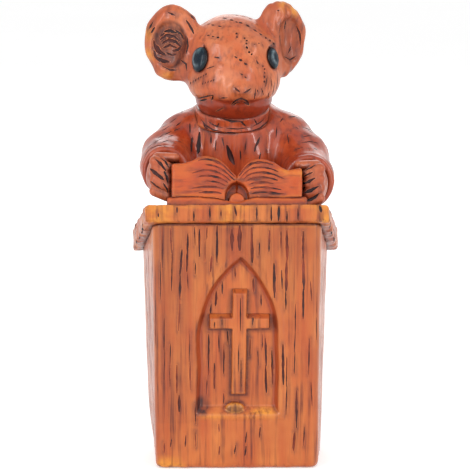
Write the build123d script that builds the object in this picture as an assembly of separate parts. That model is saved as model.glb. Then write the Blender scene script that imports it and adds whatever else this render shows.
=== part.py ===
"""A robed mouse reading from an open book on a pulpit, in cast resin pieces that peg and glue together.

Millimetres, +Z up. The origin is on the floor under the middle of the figurine. The pulpit's front faces -Y.
"""

import os
from math import cos, radians, sin, tan

from build123d import *

# Glue joints
GLUE_GAP = 0.12  # radial room round every peg
PEG_END_GAP = 0.4  # room at the bottom of every peg's socket

# Pulpit
PULPIT_FRONT_Y = -20.0
PULPIT_DEPTH = 22.0
PULPIT_FRONT_WIDTH_BASE = 35.0
PULPIT_FRONT_WIDTH_TOP = 35.8
PULPIT_BACK_WIDTH_BASE = 38.2
PULPIT_BACK_WIDTH_TOP = 41.8
PULPIT_FRONT_HEIGHT = 53.8  # floor to the board's underside, at the pulpit's front
PULPIT_CORNER_R = 1.2
BASE_BEVEL = 1.1

# Gothic niche in the pulpit's front
NICHE_HALF_WIDTH = 8.6
NICHE_SILL_Z = 12.6
NICHE_SPRING_Z = 28.6
NICHE_APEX_Z = 46.2
NICHE_DEPTH = 1.6
NICHE_DRAFT = 34.0

# Cross on the niche's floor
CROSS_FOOT_RISE = 3.8  # above the niche's sill
CROSS_HEAD_DROP = 7.2  # below the niche's apex
CROSS_ARM_DROP = 7.2  # the cross's head down to the middle of its arms
CROSS_SPAN = 13.0
CROSS_BAR = 3.1
CROSS_RELIEF = 1.35
CROSS_DRAFT = 18.0
CROSS_PEG_R = 0.8
CROSS_PEG_LENGTH = 2.0

# Sloping board on top of the pulpit
BOARD_FRONT_WIDTH = 40.2
BOARD_BACK_WIDTH = 45.0
BOARD_OVERHANG_FRONT = 1.4
BOARD_OVERHANG_BACK = 1.0
BOARD_FRONT_THICKNESS = 4.5
BOARD_BACK_THICKNESS = 6.0
BOARD_SLOPE = 19.0
BOARD_EDGE_R = 0.6
BOARD_PEG_R = 2.0
BOARD_PEG_LENGTH = 2.6
BOARD_PEG_SPACING = 22.0

# Open book
BOOK_SETBACK = 1.2  # board's front edge to the book, along the slope
BOOK_BACK_MARGIN = 9.1  # the book's back to the board's back edge, along the slope
COVER_WIDTH = 30.0
COVER_THICKNESS = 2.0
SPINE_DIP_THICKNESS = 0.9
SPINE_DIP_HALF_WIDTH = 4.6
PAGE_WIDTH = 14.0
PAGE_HUMP_SHARE = {"left": 0.46, "right": 0.38}  # where the hump's crown lies, as a share of the page's width
PAGE_TAIL_SHARE = {"left": 0.8, "right": 0.74}  # where the hump runs out
PAGE_CROWN = {"left": 11.0, "right": 10.3}
PAGE_EDGE = {"left": 9.3, "right": 8.3}
PAGE_GUTTER = 6.4
SPINE_ARCH_HALF_WIDTH = 2.6
SPINE_ARCH_HEIGHT = 5.3
SPINE_LINING_R = 1.5

# Robe, from the hem up to the collar
ROBE_HEM_HALF_WIDTH = 16.0
ROBE_HEM_HALF_DEPTH = 12.0
ROBE_KNEE_HEIGHT = 13.6
ROBE_KNEE_HALF_WIDTH = 14.7
ROBE_KNEE_HALF_DEPTH = 10.8
ROBE_WAIST_HEIGHT = 45.4
ROBE_WAIST_HALF_WIDTH = 12.4
ROBE_WAIST_HALF_DEPTH = 9.4
ROBE_WAIST_LEAN = 1.2  # the waist's middle in front of the hem's
ROBE_CHEST_HALF_WIDTH = 10.4
ROBE_CHEST_HALF_DEPTH = 8.7
ROBE_SETBACK = 6.6  # pulpit's back to the middle of the hem
CHEST_SETBACK = 4.0  # pulpit's back to the middle of the chest
CHEST_RISE = 8.0  # board's front edge up to the chest
COLLAR_RISE = 15.5  # board's front edge up to the middle of the collar's seat
COLLAR_SETBACK = 3.5  # pulpit's back to the middle of the collar's seat
COLLAR_LEAN = 14.0
PLEAT_COUNT = 6  # across the back
PLEAT_ANGLE = 30.0  # from one pleat to the next
PLEAT_FOOT_Z = 8.0
PLEAT_HEAD_Z = 43.0
PLEAT_FOOT_R = 2.6
PLEAT_HEAD_R = 1.6
PLEAT_FOOT_DEPTH = 0.9
PLEAT_HEAD_DEPTH = 0.3
ROBE_PEG_R = 3.0
ROBE_PEG_LENGTH = 4.0
ROBE_PEG_HEIGHTS = (14.0, 32.0)

# Collar and neck
COLLAR_R = 8.3
COLLAR_WALL = 1.7
COLLAR_HEIGHT = 3.2
NECK_PEG_LENGTH = 3.0
NECK_RISE = 7.0  # collar's seat up into the head

# Head, measured from its middle
HEAD_X = -0.6
HEAD_RISE = 27.9  # board's front edge up to the middle of the head
HEAD_SETBACK = 2.6  # pulpit's back to the middle of the head
HEAD_TURN = 7.0
HEAD_HALF_WIDTH = 10.6
HEAD_HALF_HEIGHT = 11.0
HEAD_BACK = 9.2
SNOUT_REACH = 12.8
SNOUT_DROP = 5.6
NOSE_R = 1.7
LIP_DROP = 7.8  # below the middle of the head
JAW_HALF_WIDTH = 8.2
JAW_HALF_DEPTH = 8.3
JAW_FORWARD = 2.4
JAW_HEIGHT = 4.4

# Ears
EAR_HALF_WIDTH = 6.4
EAR_HALF_HEIGHT = 8.3
EAR_THICKNESS = 4.4
EAR_RIM = 1.7
EAR_CUP_DEPTH = 2.4
EAR_OUT = {"left": 13.2, "right": 10.6}
EAR_UP = {"left": 4.9, "right": 5.4}
EAR_BACK = 0.6
EAR_SPLAY = 24.0
EAR_PEG_R = 1.1
EAR_PEG_REACH = 5.0

# Eyes
EYE_HALF_WIDTH = 2.2
EYE_HALF_HEIGHT = 2.7
EYE_BULGE = 1.0
EYE_SPLAY = 53.0
EYE_UP = 1.4
EYE_PEG_R = 0.7
EYE_PEG_LENGTH = 2.2

# Sleeves and paws, measured from the book's edge and the board's front edge
SHOULDER_OUT = 5.6
SHOULDER_R = 5.6
SHOULDER_RISE = 13.6
SHOULDER_BACK = 2.0  # behind the middle of the chest
UPPER_ARM_OUT = 10.8
UPPER_ARM_R = 5.8
UPPER_ARM_RISE = 10.9
UPPER_ARM_BACK = 1.0
ELBOW_OUT = 14.6
ELBOW_R = 5.9
ELBOW_RISE = 7.2
ELBOW_FORWARD = 3.0  # in front of the middle of the chest
FOREARM_FORWARD = 8.5
FOREARM_RISE = 0.6  # above the cuff
CUFF_OUT = {"left": 15.5, "right": 15.9}
CUFF_R = {"left": 4.9, "right": 5.3}
CUFF_RISE = {"left": 5.3, "right": 2.7}
CUFF_SETBACK = 14.4  # board's front edge back to the cuff
CUFF_WALL = 1.0
CUFF_HOLLOW = 4.6
SLEEVE_PEG_R = 2.0
SLEEVE_PEG_LENGTH = 3.4
SLEEVE_PEG_RISE = 7.8
PAW_OUT = 1.9  # cover's edge out to the middle of the paw
PAW_RISE = {"left": 4.6, "right": 3.2}
PAW_SETBACK = 8.8  # board's front edge back to the middle of the paw
PALM_WIDTH = 4.6
PALM_DEPTH = 7.0
PALM_HEIGHT = 8.6
PALM_EDGE_R = 1.8
FINGER_COUNT = 4
FINGER_R = 1.3
FINGER_SPREAD = 2.3
FINGER_LENGTH = 2.4
FINGER_SLANT = 18.0
WRIST_R = 2.3
WRIST_PEG_LENGTH = 2.5

# Tail, lying round the hem
TAIL_ROOT_R = 1.9
TAIL_TIP_R = 0.8
TAIL_START_ANGLE = 108.0
TAIL_END_ANGLE = 24.0
TAIL_STATIONS = 9
TAIL_ROOT_SHARE = 0.3  # share of the tail's length that curves out of the robe
TAIL_ROOT_DEPTH = 5.0
TAIL_OVERLAP = 0.3  # how far the tail's side is let into the hem
TAIL_PEG_LENGTH = 3.0

SIDES = {"left": -1, "right": 1}

# Places that several pieces share
PULPIT_BACK_Y = PULPIT_FRONT_Y + PULPIT_DEPTH
BOARD_FRONT_Y = PULPIT_FRONT_Y - BOARD_OVERHANG_FRONT
BOARD_BACK_Y = PULPIT_BACK_Y + BOARD_OVERHANG_BACK
BOARD_RUN = BOARD_BACK_Y - BOARD_FRONT_Y
BOARD_TOP_Z = PULPIT_FRONT_HEIGHT + BOARD_FRONT_THICKNESS
BOARD_DROP = BOARD_RUN * tan(radians(BOARD_SLOPE))
BOOK_DEPTH = BOARD_RUN / cos(radians(BOARD_SLOPE)) - BOOK_SETBACK - BOOK_BACK_MARGIN
UNDERSIDE_FALL = (BOARD_DROP + BOARD_BACK_THICKNESS - BOARD_FRONT_THICKNESS) / BOARD_RUN
UNDERSIDE_FRONT_Z = PULPIT_FRONT_HEIGHT + UNDERSIDE_FALL * BOARD_OVERHANG_FRONT
CROSS_FOOT_Z = NICHE_SILL_Z + CROSS_FOOT_RISE
CROSS_HEAD_Z = NICHE_APEX_Z - CROSS_HEAD_DROP
CROSS_ARM_Z = CROSS_HEAD_Z - CROSS_ARM_DROP
COLLAR_SEAT = Plane(
    origin=(HEAD_X, PULPIT_BACK_Y + COLLAR_SETBACK, BOARD_TOP_Z + COLLAR_RISE),
    x_dir=(1, 0, 0),
    z_dir=(0, -sin(radians(COLLAR_LEAN)), cos(radians(COLLAR_LEAN))),
)
HEAD_MIDDLE = Vector(HEAD_X, PULPIT_BACK_Y + HEAD_SETBACK, BOARD_TOP_Z + HEAD_RISE)
HEAD_PLACE = Pos(*HEAD_MIDDLE) * Rot(0, 0, HEAD_TURN)


def underside_z(y):
    """Height of the board's underside, which is the pulpit's sloping top."""
    return UNDERSIDE_FRONT_Z - UNDERSIDE_FALL * (y - BOARD_FRONT_Y)


def book_face(setback):
    """The plane of the book's head: X runs across the board and Y stands square off its top."""
    slope = radians(BOARD_SLOPE)
    origin = (0, BOARD_FRONT_Y + setback * cos(slope), BOARD_TOP_Z - setback * sin(slope))
    return Plane(origin=origin, x_dir=(1, 0, 0), z_dir=(0, -cos(slope), sin(slope)))


def largest(shape):
    """The biggest solid of a cut shape, without the crumbs that the cut leaves."""
    return max(shape.solids(), key=lambda solid: solid.volume)


def ellipsoid(half_x, half_y, half_z):
    return scale(Sphere(1.0), by=(half_x, half_y, half_z))


def rod(start, direction, radius, length):
    """A round bar from a point along a direction."""
    plane = Plane(origin=Vector(*start), z_dir=Vector(*direction))
    return plane * Cylinder(radius, length, align=(Align.CENTER, Align.CENTER, Align.MIN))


def peg(start, direction, radius, length):
    return rod(start, direction, radius, length)


def socket(start, direction, radius, length):
    """The hole that takes a peg of the same radius and length."""
    return rod(start, direction, radius + GLUE_GAP, length + PEG_END_GAP)


def trapezoid(front_width, back_width, front_y, back_y, corner_r):
    outline = Polygon(
        (-front_width / 2, front_y),
        (front_width / 2, front_y),
        (back_width / 2, back_y),
        (-back_width / 2, back_y),
        align=None,
    )
    return fillet(outline.vertices(), corner_r)


def niche_outline():
    """A pointed arch on two straight jambs, in the pulpit's front plane."""
    rise = NICHE_APEX_Z - NICHE_SPRING_Z
    arc_r = (NICHE_HALF_WIDTH**2 + rise**2) / (2 * NICHE_HALF_WIDTH)
    right_foot = (NICHE_HALF_WIDTH, NICHE_SILL_Z)
    right_spring = (NICHE_HALF_WIDTH, NICHE_SPRING_Z)
    apex = (0, NICHE_APEX_Z)
    left_spring = (-NICHE_HALF_WIDTH, NICHE_SPRING_Z)
    left_foot = (-NICHE_HALF_WIDTH, NICHE_SILL_Z)
    edges = [
        Line(right_foot, right_spring),
        RadiusArc(right_spring, apex, -arc_r),
        RadiusArc(apex, left_spring, -arc_r),
        Line(left_spring, left_foot),
        Line(left_foot, right_foot),
    ]
    return make_face(edges)


def front_plane(y):
    """An upright plane that looks forward, with its Y up."""
    return Plane(origin=(0, y, 0), x_dir=(1, 0, 0), z_dir=(0, -1, 0))


def cross_peg_heights():
    return (CROSS_FOOT_Z + CROSS_BAR, CROSS_ARM_Z)


def board_pegs(make):
    """The pegs that stand on the pulpit's top under the board, or their sockets."""
    middle_y = (PULPIT_FRONT_Y + PULPIT_BACK_Y) / 2
    foot_z = underside_z(middle_y) - BOARD_PEG_LENGTH
    length = 2 * BOARD_PEG_LENGTH
    feet = [(side * BOARD_PEG_SPACING / 2, middle_y, foot_z) for side in SIDES.values()]
    return [make(foot, (0, 0, 1), BOARD_PEG_R, length) for foot in feet]


def make_pulpit():
    base = (PULPIT_FRONT_WIDTH_BASE, PULPIT_BACK_WIDTH_BASE, PULPIT_FRONT_Y, PULPIT_BACK_Y)
    foot = trapezoid(
        base[0] - 2 * BASE_BEVEL, base[1] - 2 * BASE_BEVEL, base[2] + BASE_BEVEL, base[3], PULPIT_CORNER_R
    )
    plinth = trapezoid(*base, PULPIT_CORNER_R)
    top_widths = (PULPIT_FRONT_WIDTH_TOP, PULPIT_BACK_WIDTH_TOP)
    top = trapezoid(*top_widths, PULPIT_FRONT_Y, PULPIT_BACK_Y, PULPIT_CORNER_R)
    block = loft([foot, Pos(0, 0, BASE_BEVEL) * plinth, Pos(0, 0, UNDERSIDE_FRONT_Z) * top], ruled=True)
    above = Polygon(
        (BOARD_FRONT_Y, UNDERSIDE_FRONT_Z),
        (BOARD_BACK_Y, underside_z(BOARD_BACK_Y)),
        (BOARD_BACK_Y, 2 * UNDERSIDE_FRONT_Z),
        (BOARD_FRONT_Y, 2 * UNDERSIDE_FRONT_Z),
        align=None,
    )
    block -= extrude(Plane.YZ * above, BOARD_BACK_WIDTH, both=True)
    block -= extrude(front_plane(PULPIT_FRONT_Y) * niche_outline(), -NICHE_DEPTH, taper=NICHE_DRAFT)
    niche_floor_y = PULPIT_FRONT_Y + NICHE_DEPTH
    for height in cross_peg_heights():
        block -= socket((0, niche_floor_y, height), (0, 1, 0), CROSS_PEG_R, CROSS_PEG_LENGTH)
    for height in ROBE_PEG_HEIGHTS:
        block -= socket((0, PULPIT_BACK_Y, height), (0, -1, 0), ROBE_PEG_R, ROBE_PEG_LENGTH)
    for stub in board_pegs(peg):
        block += stub
    return largest(block)


def make_cross():
    """Two bars with drafted sides, standing on the niche's floor on a pair of pegs."""
    plane = front_plane(PULPIT_FRONT_Y + NICHE_DEPTH)
    upright = Pos(0, (CROSS_FOOT_Z + CROSS_HEAD_Z) / 2) * Rectangle(CROSS_BAR, CROSS_HEAD_Z - CROSS_FOOT_Z)
    arms = Pos(0, CROSS_ARM_Z) * Rectangle(CROSS_SPAN, CROSS_BAR)
    cross = extrude(plane * (upright + arms), CROSS_RELIEF, taper=CROSS_DRAFT)
    for height in cross_peg_heights():
        cross += peg((0, PULPIT_FRONT_Y + NICHE_DEPTH, height), (0, 1, 0), CROSS_PEG_R, CROSS_PEG_LENGTH)
    return largest(cross)


def make_board():
    profile = Polygon(
        (BOARD_FRONT_Y, BOARD_TOP_Z),
        (BOARD_BACK_Y, BOARD_TOP_Z - BOARD_DROP),
        (BOARD_BACK_Y, underside_z(BOARD_BACK_Y)),
        (BOARD_FRONT_Y, UNDERSIDE_FRONT_Z),
        align=None,
    )
    plan = Polygon(
        (-BOARD_FRONT_WIDTH / 2, BOARD_FRONT_Y),
        (BOARD_FRONT_WIDTH / 2, BOARD_FRONT_Y),
        (BOARD_BACK_WIDTH / 2, BOARD_BACK_Y),
        (-BOARD_BACK_WIDTH / 2, BOARD_BACK_Y),
        align=None,
    )
    board = extrude(Plane.YZ * profile, BOARD_BACK_WIDTH, both=True) & extrude(plan, 2 * BOARD_TOP_Z)
    board = fillet(board.edges(), BOARD_EDGE_R)
    for hole in board_pegs(socket):
        board -= hole
    return largest(board)


def book_solid(outline):
    """A piece of the book, from its outline on the head of the book."""
    return extrude(book_face(BOOK_SETBACK) * outline, -BOOK_DEPTH)


def make_cover():
    half = COVER_WIDTH / 2
    outline = make_face(
        [
            Line((-half, 0), (half, 0)),
            Line((half, 0), (half, COVER_THICKNESS)),
            Line((half, COVER_THICKNESS), (SPINE_DIP_HALF_WIDTH, COVER_THICKNESS)),
            ThreePointArc(
                (SPINE_DIP_HALF_WIDTH, COVER_THICKNESS),
                (0, SPINE_DIP_THICKNESS),
                (-SPINE_DIP_HALF_WIDTH, COVER_THICKNESS),
            ),
            Line((-SPINE_DIP_HALF_WIDTH, COVER_THICKNESS), (-half, COVER_THICKNESS)),
            Line((-half, COVER_THICKNESS), (-half, 0)),
        ]
    )
    return largest(book_solid(outline))


def page_outline(name):
    """Half of the open pages: a hump that rises from the gutter and runs out to a level edge."""
    side = SIDES[name]
    gutter = (0, PAGE_GUTTER)
    crown = (side * PAGE_HUMP_SHARE[name] * PAGE_WIDTH, PAGE_CROWN[name])
    tail = (side * PAGE_TAIL_SHARE[name] * PAGE_WIDTH, PAGE_EDGE[name])
    edge = (side * PAGE_WIDTH, PAGE_EDGE[name])
    foot = (side * PAGE_WIDTH, 0)
    hump = ThreePointArc(gutter, crown, tail)
    sides = [Line(tail, edge), Line(edge, foot), Line(foot, (0, 0)), Line((0, 0), gutter)]
    return make_face([hump] + sides)


def spine_arch():
    """The round hollow between the pages' backs and the cover's spine."""
    foot = SPINE_DIP_THICKNESS
    half = SPINE_ARCH_HALF_WIDTH
    arch = ThreePointArc((half, foot), (0, SPINE_ARCH_HEIGHT), (-half, foot))
    sides = [Line((-half, foot), (-half, 0)), Line((-half, 0), (half, 0)), Line((half, 0), (half, foot))]
    return make_face([arch] + sides)


def make_pages(name, cover):
    return largest(book_solid(page_outline(name)) - book_solid(spine_arch()) - cover)


def make_spine_lining(cover):
    round_bar = Pos(0, SPINE_DIP_THICKNESS) * Circle(SPINE_LINING_R)
    upper = Pos(0, SPINE_DIP_THICKNESS + SPINE_LINING_R) * Rectangle(4 * SPINE_LINING_R, 2 * SPINE_LINING_R)
    return largest(book_solid(round_bar & upper) - cover)


def tilted_ellipse(x, y, z, half_width, half_depth, lean):
    plane = Plane(origin=(x, y, z), x_dir=(1, 0, 0), z_dir=(0, -sin(radians(lean)), cos(radians(lean))))
    return plane * Ellipse(half_width, half_depth)


def robe_body():
    """The robe before its seats are cut: ellipses that narrow and lean forward from the hem to the collar."""
    hem_y = PULPIT_BACK_Y + ROBE_SETBACK
    knee_y = hem_y - ROBE_WAIST_LEAN / 2
    waist_y = hem_y - ROBE_WAIST_LEAN
    chest_y = PULPIT_BACK_Y + CHEST_SETBACK
    chest_z = BOARD_TOP_Z + CHEST_RISE
    neck = COLLAR_SEAT.origin
    seat_r = COLLAR_R - COLLAR_WALL / 4
    sections = [
        tilted_ellipse(0, hem_y, 0, ROBE_HEM_HALF_WIDTH, ROBE_HEM_HALF_DEPTH, 0),
        tilted_ellipse(0, knee_y, ROBE_KNEE_HEIGHT, ROBE_KNEE_HALF_WIDTH, ROBE_KNEE_HALF_DEPTH, 0),
        tilted_ellipse(0, waist_y, ROBE_WAIST_HEIGHT, ROBE_WAIST_HALF_WIDTH, ROBE_WAIST_HALF_DEPTH, 0),
        tilted_ellipse(0, chest_y, chest_z, ROBE_CHEST_HALF_WIDTH, ROBE_CHEST_HALF_DEPTH, COLLAR_LEAN / 3),
        tilted_ellipse(*neck, seat_r, seat_r, COLLAR_LEAN),
    ]
    body = loft(sections)
    for index in range(PLEAT_COUNT):
        body -= pleat(90 + (index - (PLEAT_COUNT - 1) / 2) * PLEAT_ANGLE)
    return body


def skirt_point(angle, height, off):
    """A point off the skirt, between the hem and the waist, at an angle from the figure's left hand."""
    share = height / ROBE_WAIST_HEIGHT
    half_width = ROBE_HEM_HALF_WIDTH + (ROBE_WAIST_HALF_WIDTH - ROBE_HEM_HALF_WIDTH) * share
    half_depth = ROBE_HEM_HALF_DEPTH + (ROBE_WAIST_HALF_DEPTH - ROBE_HEM_HALF_DEPTH) * share
    middle_y = PULPIT_BACK_Y + ROBE_SETBACK - ROBE_WAIST_LEAN * share
    turn = radians(angle)
    return Vector((half_width + off) * cos(turn), middle_y + (half_depth + off) * sin(turn), height)


def pleat(angle):
    """A round-bottomed furrow up the skirt that grows shallow towards the waist."""
    foot = skirt_point(angle, PLEAT_FOOT_Z, PLEAT_FOOT_R - PLEAT_FOOT_DEPTH)
    head = skirt_point(angle, PLEAT_HEAD_Z, PLEAT_HEAD_R - PLEAT_HEAD_DEPTH)
    direction = head - foot
    wide = round_section(foot, direction, PLEAT_FOOT_R)
    narrow = round_section(head, direction, PLEAT_HEAD_R)
    furrow = loft([wide, narrow])
    return furrow + Pos(*foot) * Sphere(PLEAT_FOOT_R)


def make_robe(body, others):
    robe = body
    for other in others:
        robe -= other
    robe = largest(robe)
    for height in ROBE_PEG_HEIGHTS:
        robe += peg((0, PULPIT_BACK_Y + ROBE_PEG_LENGTH, height), (0, -1, 0), ROBE_PEG_R, 2 * ROBE_PEG_LENGTH)
    robe -= socket(COLLAR_SEAT.origin, -COLLAR_SEAT.z_dir, neck_r(), NECK_PEG_LENGTH)
    for name in SIDES:
        robe -= socket(*shoulder_peg(name), SLEEVE_PEG_R, 2 * SLEEVE_PEG_LENGTH)
    robe -= socket(*tail_peg(), TAIL_ROOT_R * 0.5, 2 * TAIL_PEG_LENGTH)
    return largest(robe)


def pulpit_envelope():
    """Everything in front of the pulpit's back, up to the board, where the robe may not go."""
    height = BOARD_TOP_Z - BOARD_DROP
    depth = 2 * PULPIT_DEPTH
    return Pos(0, PULPIT_BACK_Y - depth / 2, height / 2) * Box(2 * BOARD_BACK_WIDTH, depth, height)


def neck_r():
    return COLLAR_R - COLLAR_WALL - GLUE_GAP


def make_collar(head):
    ring = Cylinder(COLLAR_R, COLLAR_HEIGHT, align=(Align.CENTER, Align.CENTER, Align.MIN))
    ring -= Cylinder(COLLAR_R - COLLAR_WALL, 3 * COLLAR_HEIGHT)
    return largest(COLLAR_SEAT * ring - head)


def head_body():
    """The head before its sockets are cut: ellipses from the nape to the nose, each lower than the last."""
    stations = [
        (-1.0, 0.22, 0.14),
        (-0.8, 0.62, 0.1),
        (-0.4, 0.92, 0.05),
        (0.0, 1.0, 0.0),
        (0.32, 0.97, -0.26),
        (0.66, 0.68, -0.56),
        (0.88, 0.38, -0.86),
    ]
    sections = []
    for along, girth, drop in stations:
        reach = HEAD_BACK if along < 0 else SNOUT_REACH
        plane = Plane(origin=(0, -along * reach, drop * SNOUT_DROP), x_dir=(1, 0, 0), z_dir=(0, -1, 0))
        sections.append(plane * Ellipse(girth * HEAD_HALF_WIDTH, girth * HEAD_HALF_HEIGHT))
    tip = Plane(origin=(0, -SNOUT_REACH, -SNOUT_DROP), x_dir=(1, 0, 0), z_dir=(0, -1, 0))
    sections.append(tip * Ellipse(NOSE_R, NOSE_R))
    below_lip = Box(4 * HEAD_HALF_WIDTH, 4 * SNOUT_REACH, 2 * HEAD_HALF_HEIGHT)
    skull = loft(sections) - Pos(0, 0, -LIP_DROP - HEAD_HALF_HEIGHT) * below_lip
    return HEAD_PLACE * largest(skull + jaw_body())


def jaw_body():
    """The lower jaw: a bowl set back under the lip."""
    sections = []
    for rise, girth in ((0.15, 0.97), (0.0, 1.0), (-0.42, 0.93), (-0.77, 0.66), (-1.0, 0.32)):
        plane = Plane(origin=(0, -JAW_FORWARD, -LIP_DROP + rise * JAW_HEIGHT))
        sections.append(plane * Ellipse(girth * JAW_HALF_WIDTH, girth * JAW_HALF_DEPTH))
    return loft(sections)


def eye_frame(name, head):
    """A plane on the head's skin where an eye sits, with its Z pointing straight out."""
    angle = radians(EYE_SPLAY) * SIDES[name]
    outward = (HEAD_PLACE * Pos(sin(angle), -cos(angle), 0)).position - HEAD_MIDDLE
    start = (HEAD_PLACE * Pos(0, 0, EYE_UP)).position
    far = start + outward * (2 * HEAD_HALF_WIDTH)
    skin_point = largest_reach(head, start, far)
    return Plane(origin=skin_point, x_dir=Vector(0, 0, 1).cross(outward), z_dir=outward)


def largest_reach(solid, start, far):
    """Where the line from inside the solid to a far point leaves it."""
    inside = Edge.make_line(start, far) & solid
    points = [vertex.center() for edge in inside.edges() for vertex in edge.vertices()]
    return max(points, key=lambda point: (point - start).length)


def eye_peg(frame, make):
    """The peg on an eye's back, or its socket in the head."""
    start = frame.origin + frame.z_dir * (EYE_BULGE / 2)
    return make(start, -frame.z_dir, EYE_PEG_R, EYE_PEG_LENGTH)


def make_eye(frame, head):
    dome = frame * ellipsoid(EYE_HALF_WIDTH, EYE_HALF_HEIGHT, EYE_BULGE)
    return largest(largest(dome - head) + eye_peg(frame, peg))


def ear_place(name):
    side = SIDES[name]
    return HEAD_PLACE * Pos(side * EAR_OUT[name], EAR_BACK, EAR_UP[name]) * Rot(0, 0, side * EAR_SPLAY)


def ear_peg(name):
    """Start and direction of an ear's peg, from the ear's root to the middle of the head."""
    start = (ear_place(name) * Pos(-SIDES[name] * EAR_HALF_WIDTH * 0.6, EAR_THICKNESS * 0.2, 0)).position
    target = (HEAD_PLACE * Pos(0, EAR_BACK, EAR_UP[name] * 0.5)).position
    return start, (target - start).normalized()


def ear_section(forward, half_width, half_height):
    """An upright ellipse across the ear, some way in front of its middle."""
    plane = Plane(origin=(0, -forward, 0), x_dir=(1, 0, 0), z_dir=(0, -1, 0))
    return plane * Ellipse(half_width, half_height)


def make_ear(name, head):
    """A thick leaf with a cup scooped from its front, seated on the side of the head."""
    half = EAR_THICKNESS / 2
    leaf = loft(
        [
            ear_section(-half, 0.6 * EAR_HALF_WIDTH, 0.6 * EAR_HALF_HEIGHT),
            ear_section(0, EAR_HALF_WIDTH, EAR_HALF_HEIGHT),
            ear_section(half, EAR_HALF_WIDTH - EAR_RIM / 2, EAR_HALF_HEIGHT - EAR_RIM / 2),
        ]
    )
    cup = loft(
        [
            ear_section(half - EAR_CUP_DEPTH, 0.5 * EAR_HALF_WIDTH, 0.5 * EAR_HALF_HEIGHT),
            ear_section(half + EAR_RIM / 4, EAR_HALF_WIDTH - EAR_RIM, EAR_HALF_HEIGHT - EAR_RIM),
        ]
    )
    ear = largest(ear_place(name) * (leaf - cup) - head)
    start, direction = ear_peg(name)
    return largest(ear + peg(start, direction, EAR_PEG_R, EAR_PEG_REACH))


def make_head(body, eye_frames):
    head = body + COLLAR_SEAT * Pos(0, 0, -NECK_PEG_LENGTH) * Cylinder(
        neck_r(), NECK_PEG_LENGTH + NECK_RISE, align=(Align.CENTER, Align.CENTER, Align.MIN)
    )
    for name in SIDES:
        head -= eye_peg(eye_frames[name], socket)
        start, direction = ear_peg(name)
        head -= socket(start, direction, EAR_PEG_R, EAR_PEG_REACH)
    return largest(head)


def sleeve_stations(name):
    """Middle, direction and radius of the sleeve from the shoulder to the cuff, on the right-hand side."""
    chest_y = PULPIT_BACK_Y + CHEST_SETBACK
    cuff_y = BOARD_FRONT_Y + CUFF_SETBACK
    cuff_z = BOARD_TOP_Z + CUFF_RISE[name]
    shoulder = (SHOULDER_OUT, chest_y + SHOULDER_BACK, BOARD_TOP_Z + SHOULDER_RISE)
    upper_arm = (UPPER_ARM_OUT, chest_y + UPPER_ARM_BACK, BOARD_TOP_Z + UPPER_ARM_RISE)
    elbow = (ELBOW_OUT, chest_y - ELBOW_FORWARD, BOARD_TOP_Z + ELBOW_RISE)
    forearm = (CUFF_OUT[name], chest_y - FOREARM_FORWARD, cuff_z + FOREARM_RISE)
    cuff = (CUFF_OUT[name], cuff_y, cuff_z)
    return [
        (shoulder, (0.8, -0.1, -0.5), SHOULDER_R),
        (upper_arm, (0.7, -0.4, -0.6), UPPER_ARM_R),
        (elbow, (0.35, -0.85, -0.4), ELBOW_R),
        (forearm, (0.08, -1, -0.15), (ELBOW_R + CUFF_R[name]) / 2),
        (cuff, (0, -1, -0.08), CUFF_R[name]),
    ]


def on_side(name, shape):
    """A right-hand shape, or its mirror image for the left."""
    return shape if name == "right" else mirror(shape, about=Plane.YZ)


def shoulder_peg(name):
    """Start and direction of a sleeve's peg, pointing into the robe."""
    side = SIDES[name]
    start = Vector(side * UPPER_ARM_OUT, PULPIT_BACK_Y + CHEST_SETBACK, BOARD_TOP_Z + SLEEVE_PEG_RISE)
    return start, Vector(-side, 0, 0)


def round_section(middle, direction, radius):
    return Plane(origin=middle, x_dir=(0, 0, 1), z_dir=direction) * Circle(radius)


def cuff_hollow(name):
    """The bell of the sleeve, open at the cuff, on the right-hand side."""
    middle, direction, radius = sleeve_stations(name)[-1]
    axis = Vector(*direction).normalized()
    mouth = Vector(*middle) + axis * CUFF_WALL
    floor = Vector(*middle) - axis * CUFF_HOLLOW
    narrow = round_section(floor, axis, radius - 1.4 * CUFF_WALL)
    wide = round_section(mouth, axis, radius - 0.8 * CUFF_WALL)
    return loft([narrow, wide], ruled=True)


def wrist_line(name):
    """Start in the middle of the paw and direction into the sleeve."""
    middle, direction, _ = sleeve_stations(name)[-1]
    start = paw_middle(name)
    floor = Vector(*middle) - Vector(*direction).normalized() * CUFF_HOLLOW
    return start, Vector(SIDES[name] * floor.X, floor.Y, floor.Z) - start


def make_sleeve(name, robe_blank, others):
    arm = loft([round_section(*station) for station in sleeve_stations(name)])
    sleeve = largest(on_side(name, arm - cuff_hollow(name)) - robe_blank)
    start, way = wrist_line(name)
    sleeve -= socket(start, way.normalized(), WRIST_R, way.length + WRIST_PEG_LENGTH)
    for other in others:
        sleeve -= other
    return largest(largest(sleeve) + peg(*shoulder_peg(name), SLEEVE_PEG_R, 2 * SLEEVE_PEG_LENGTH))


def paw_middle(name):
    out = COVER_WIDTH / 2 + PAW_OUT
    return Vector(SIDES[name] * out, BOARD_FRONT_Y + PAW_SETBACK, BOARD_TOP_Z + PAW_RISE[name])


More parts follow.
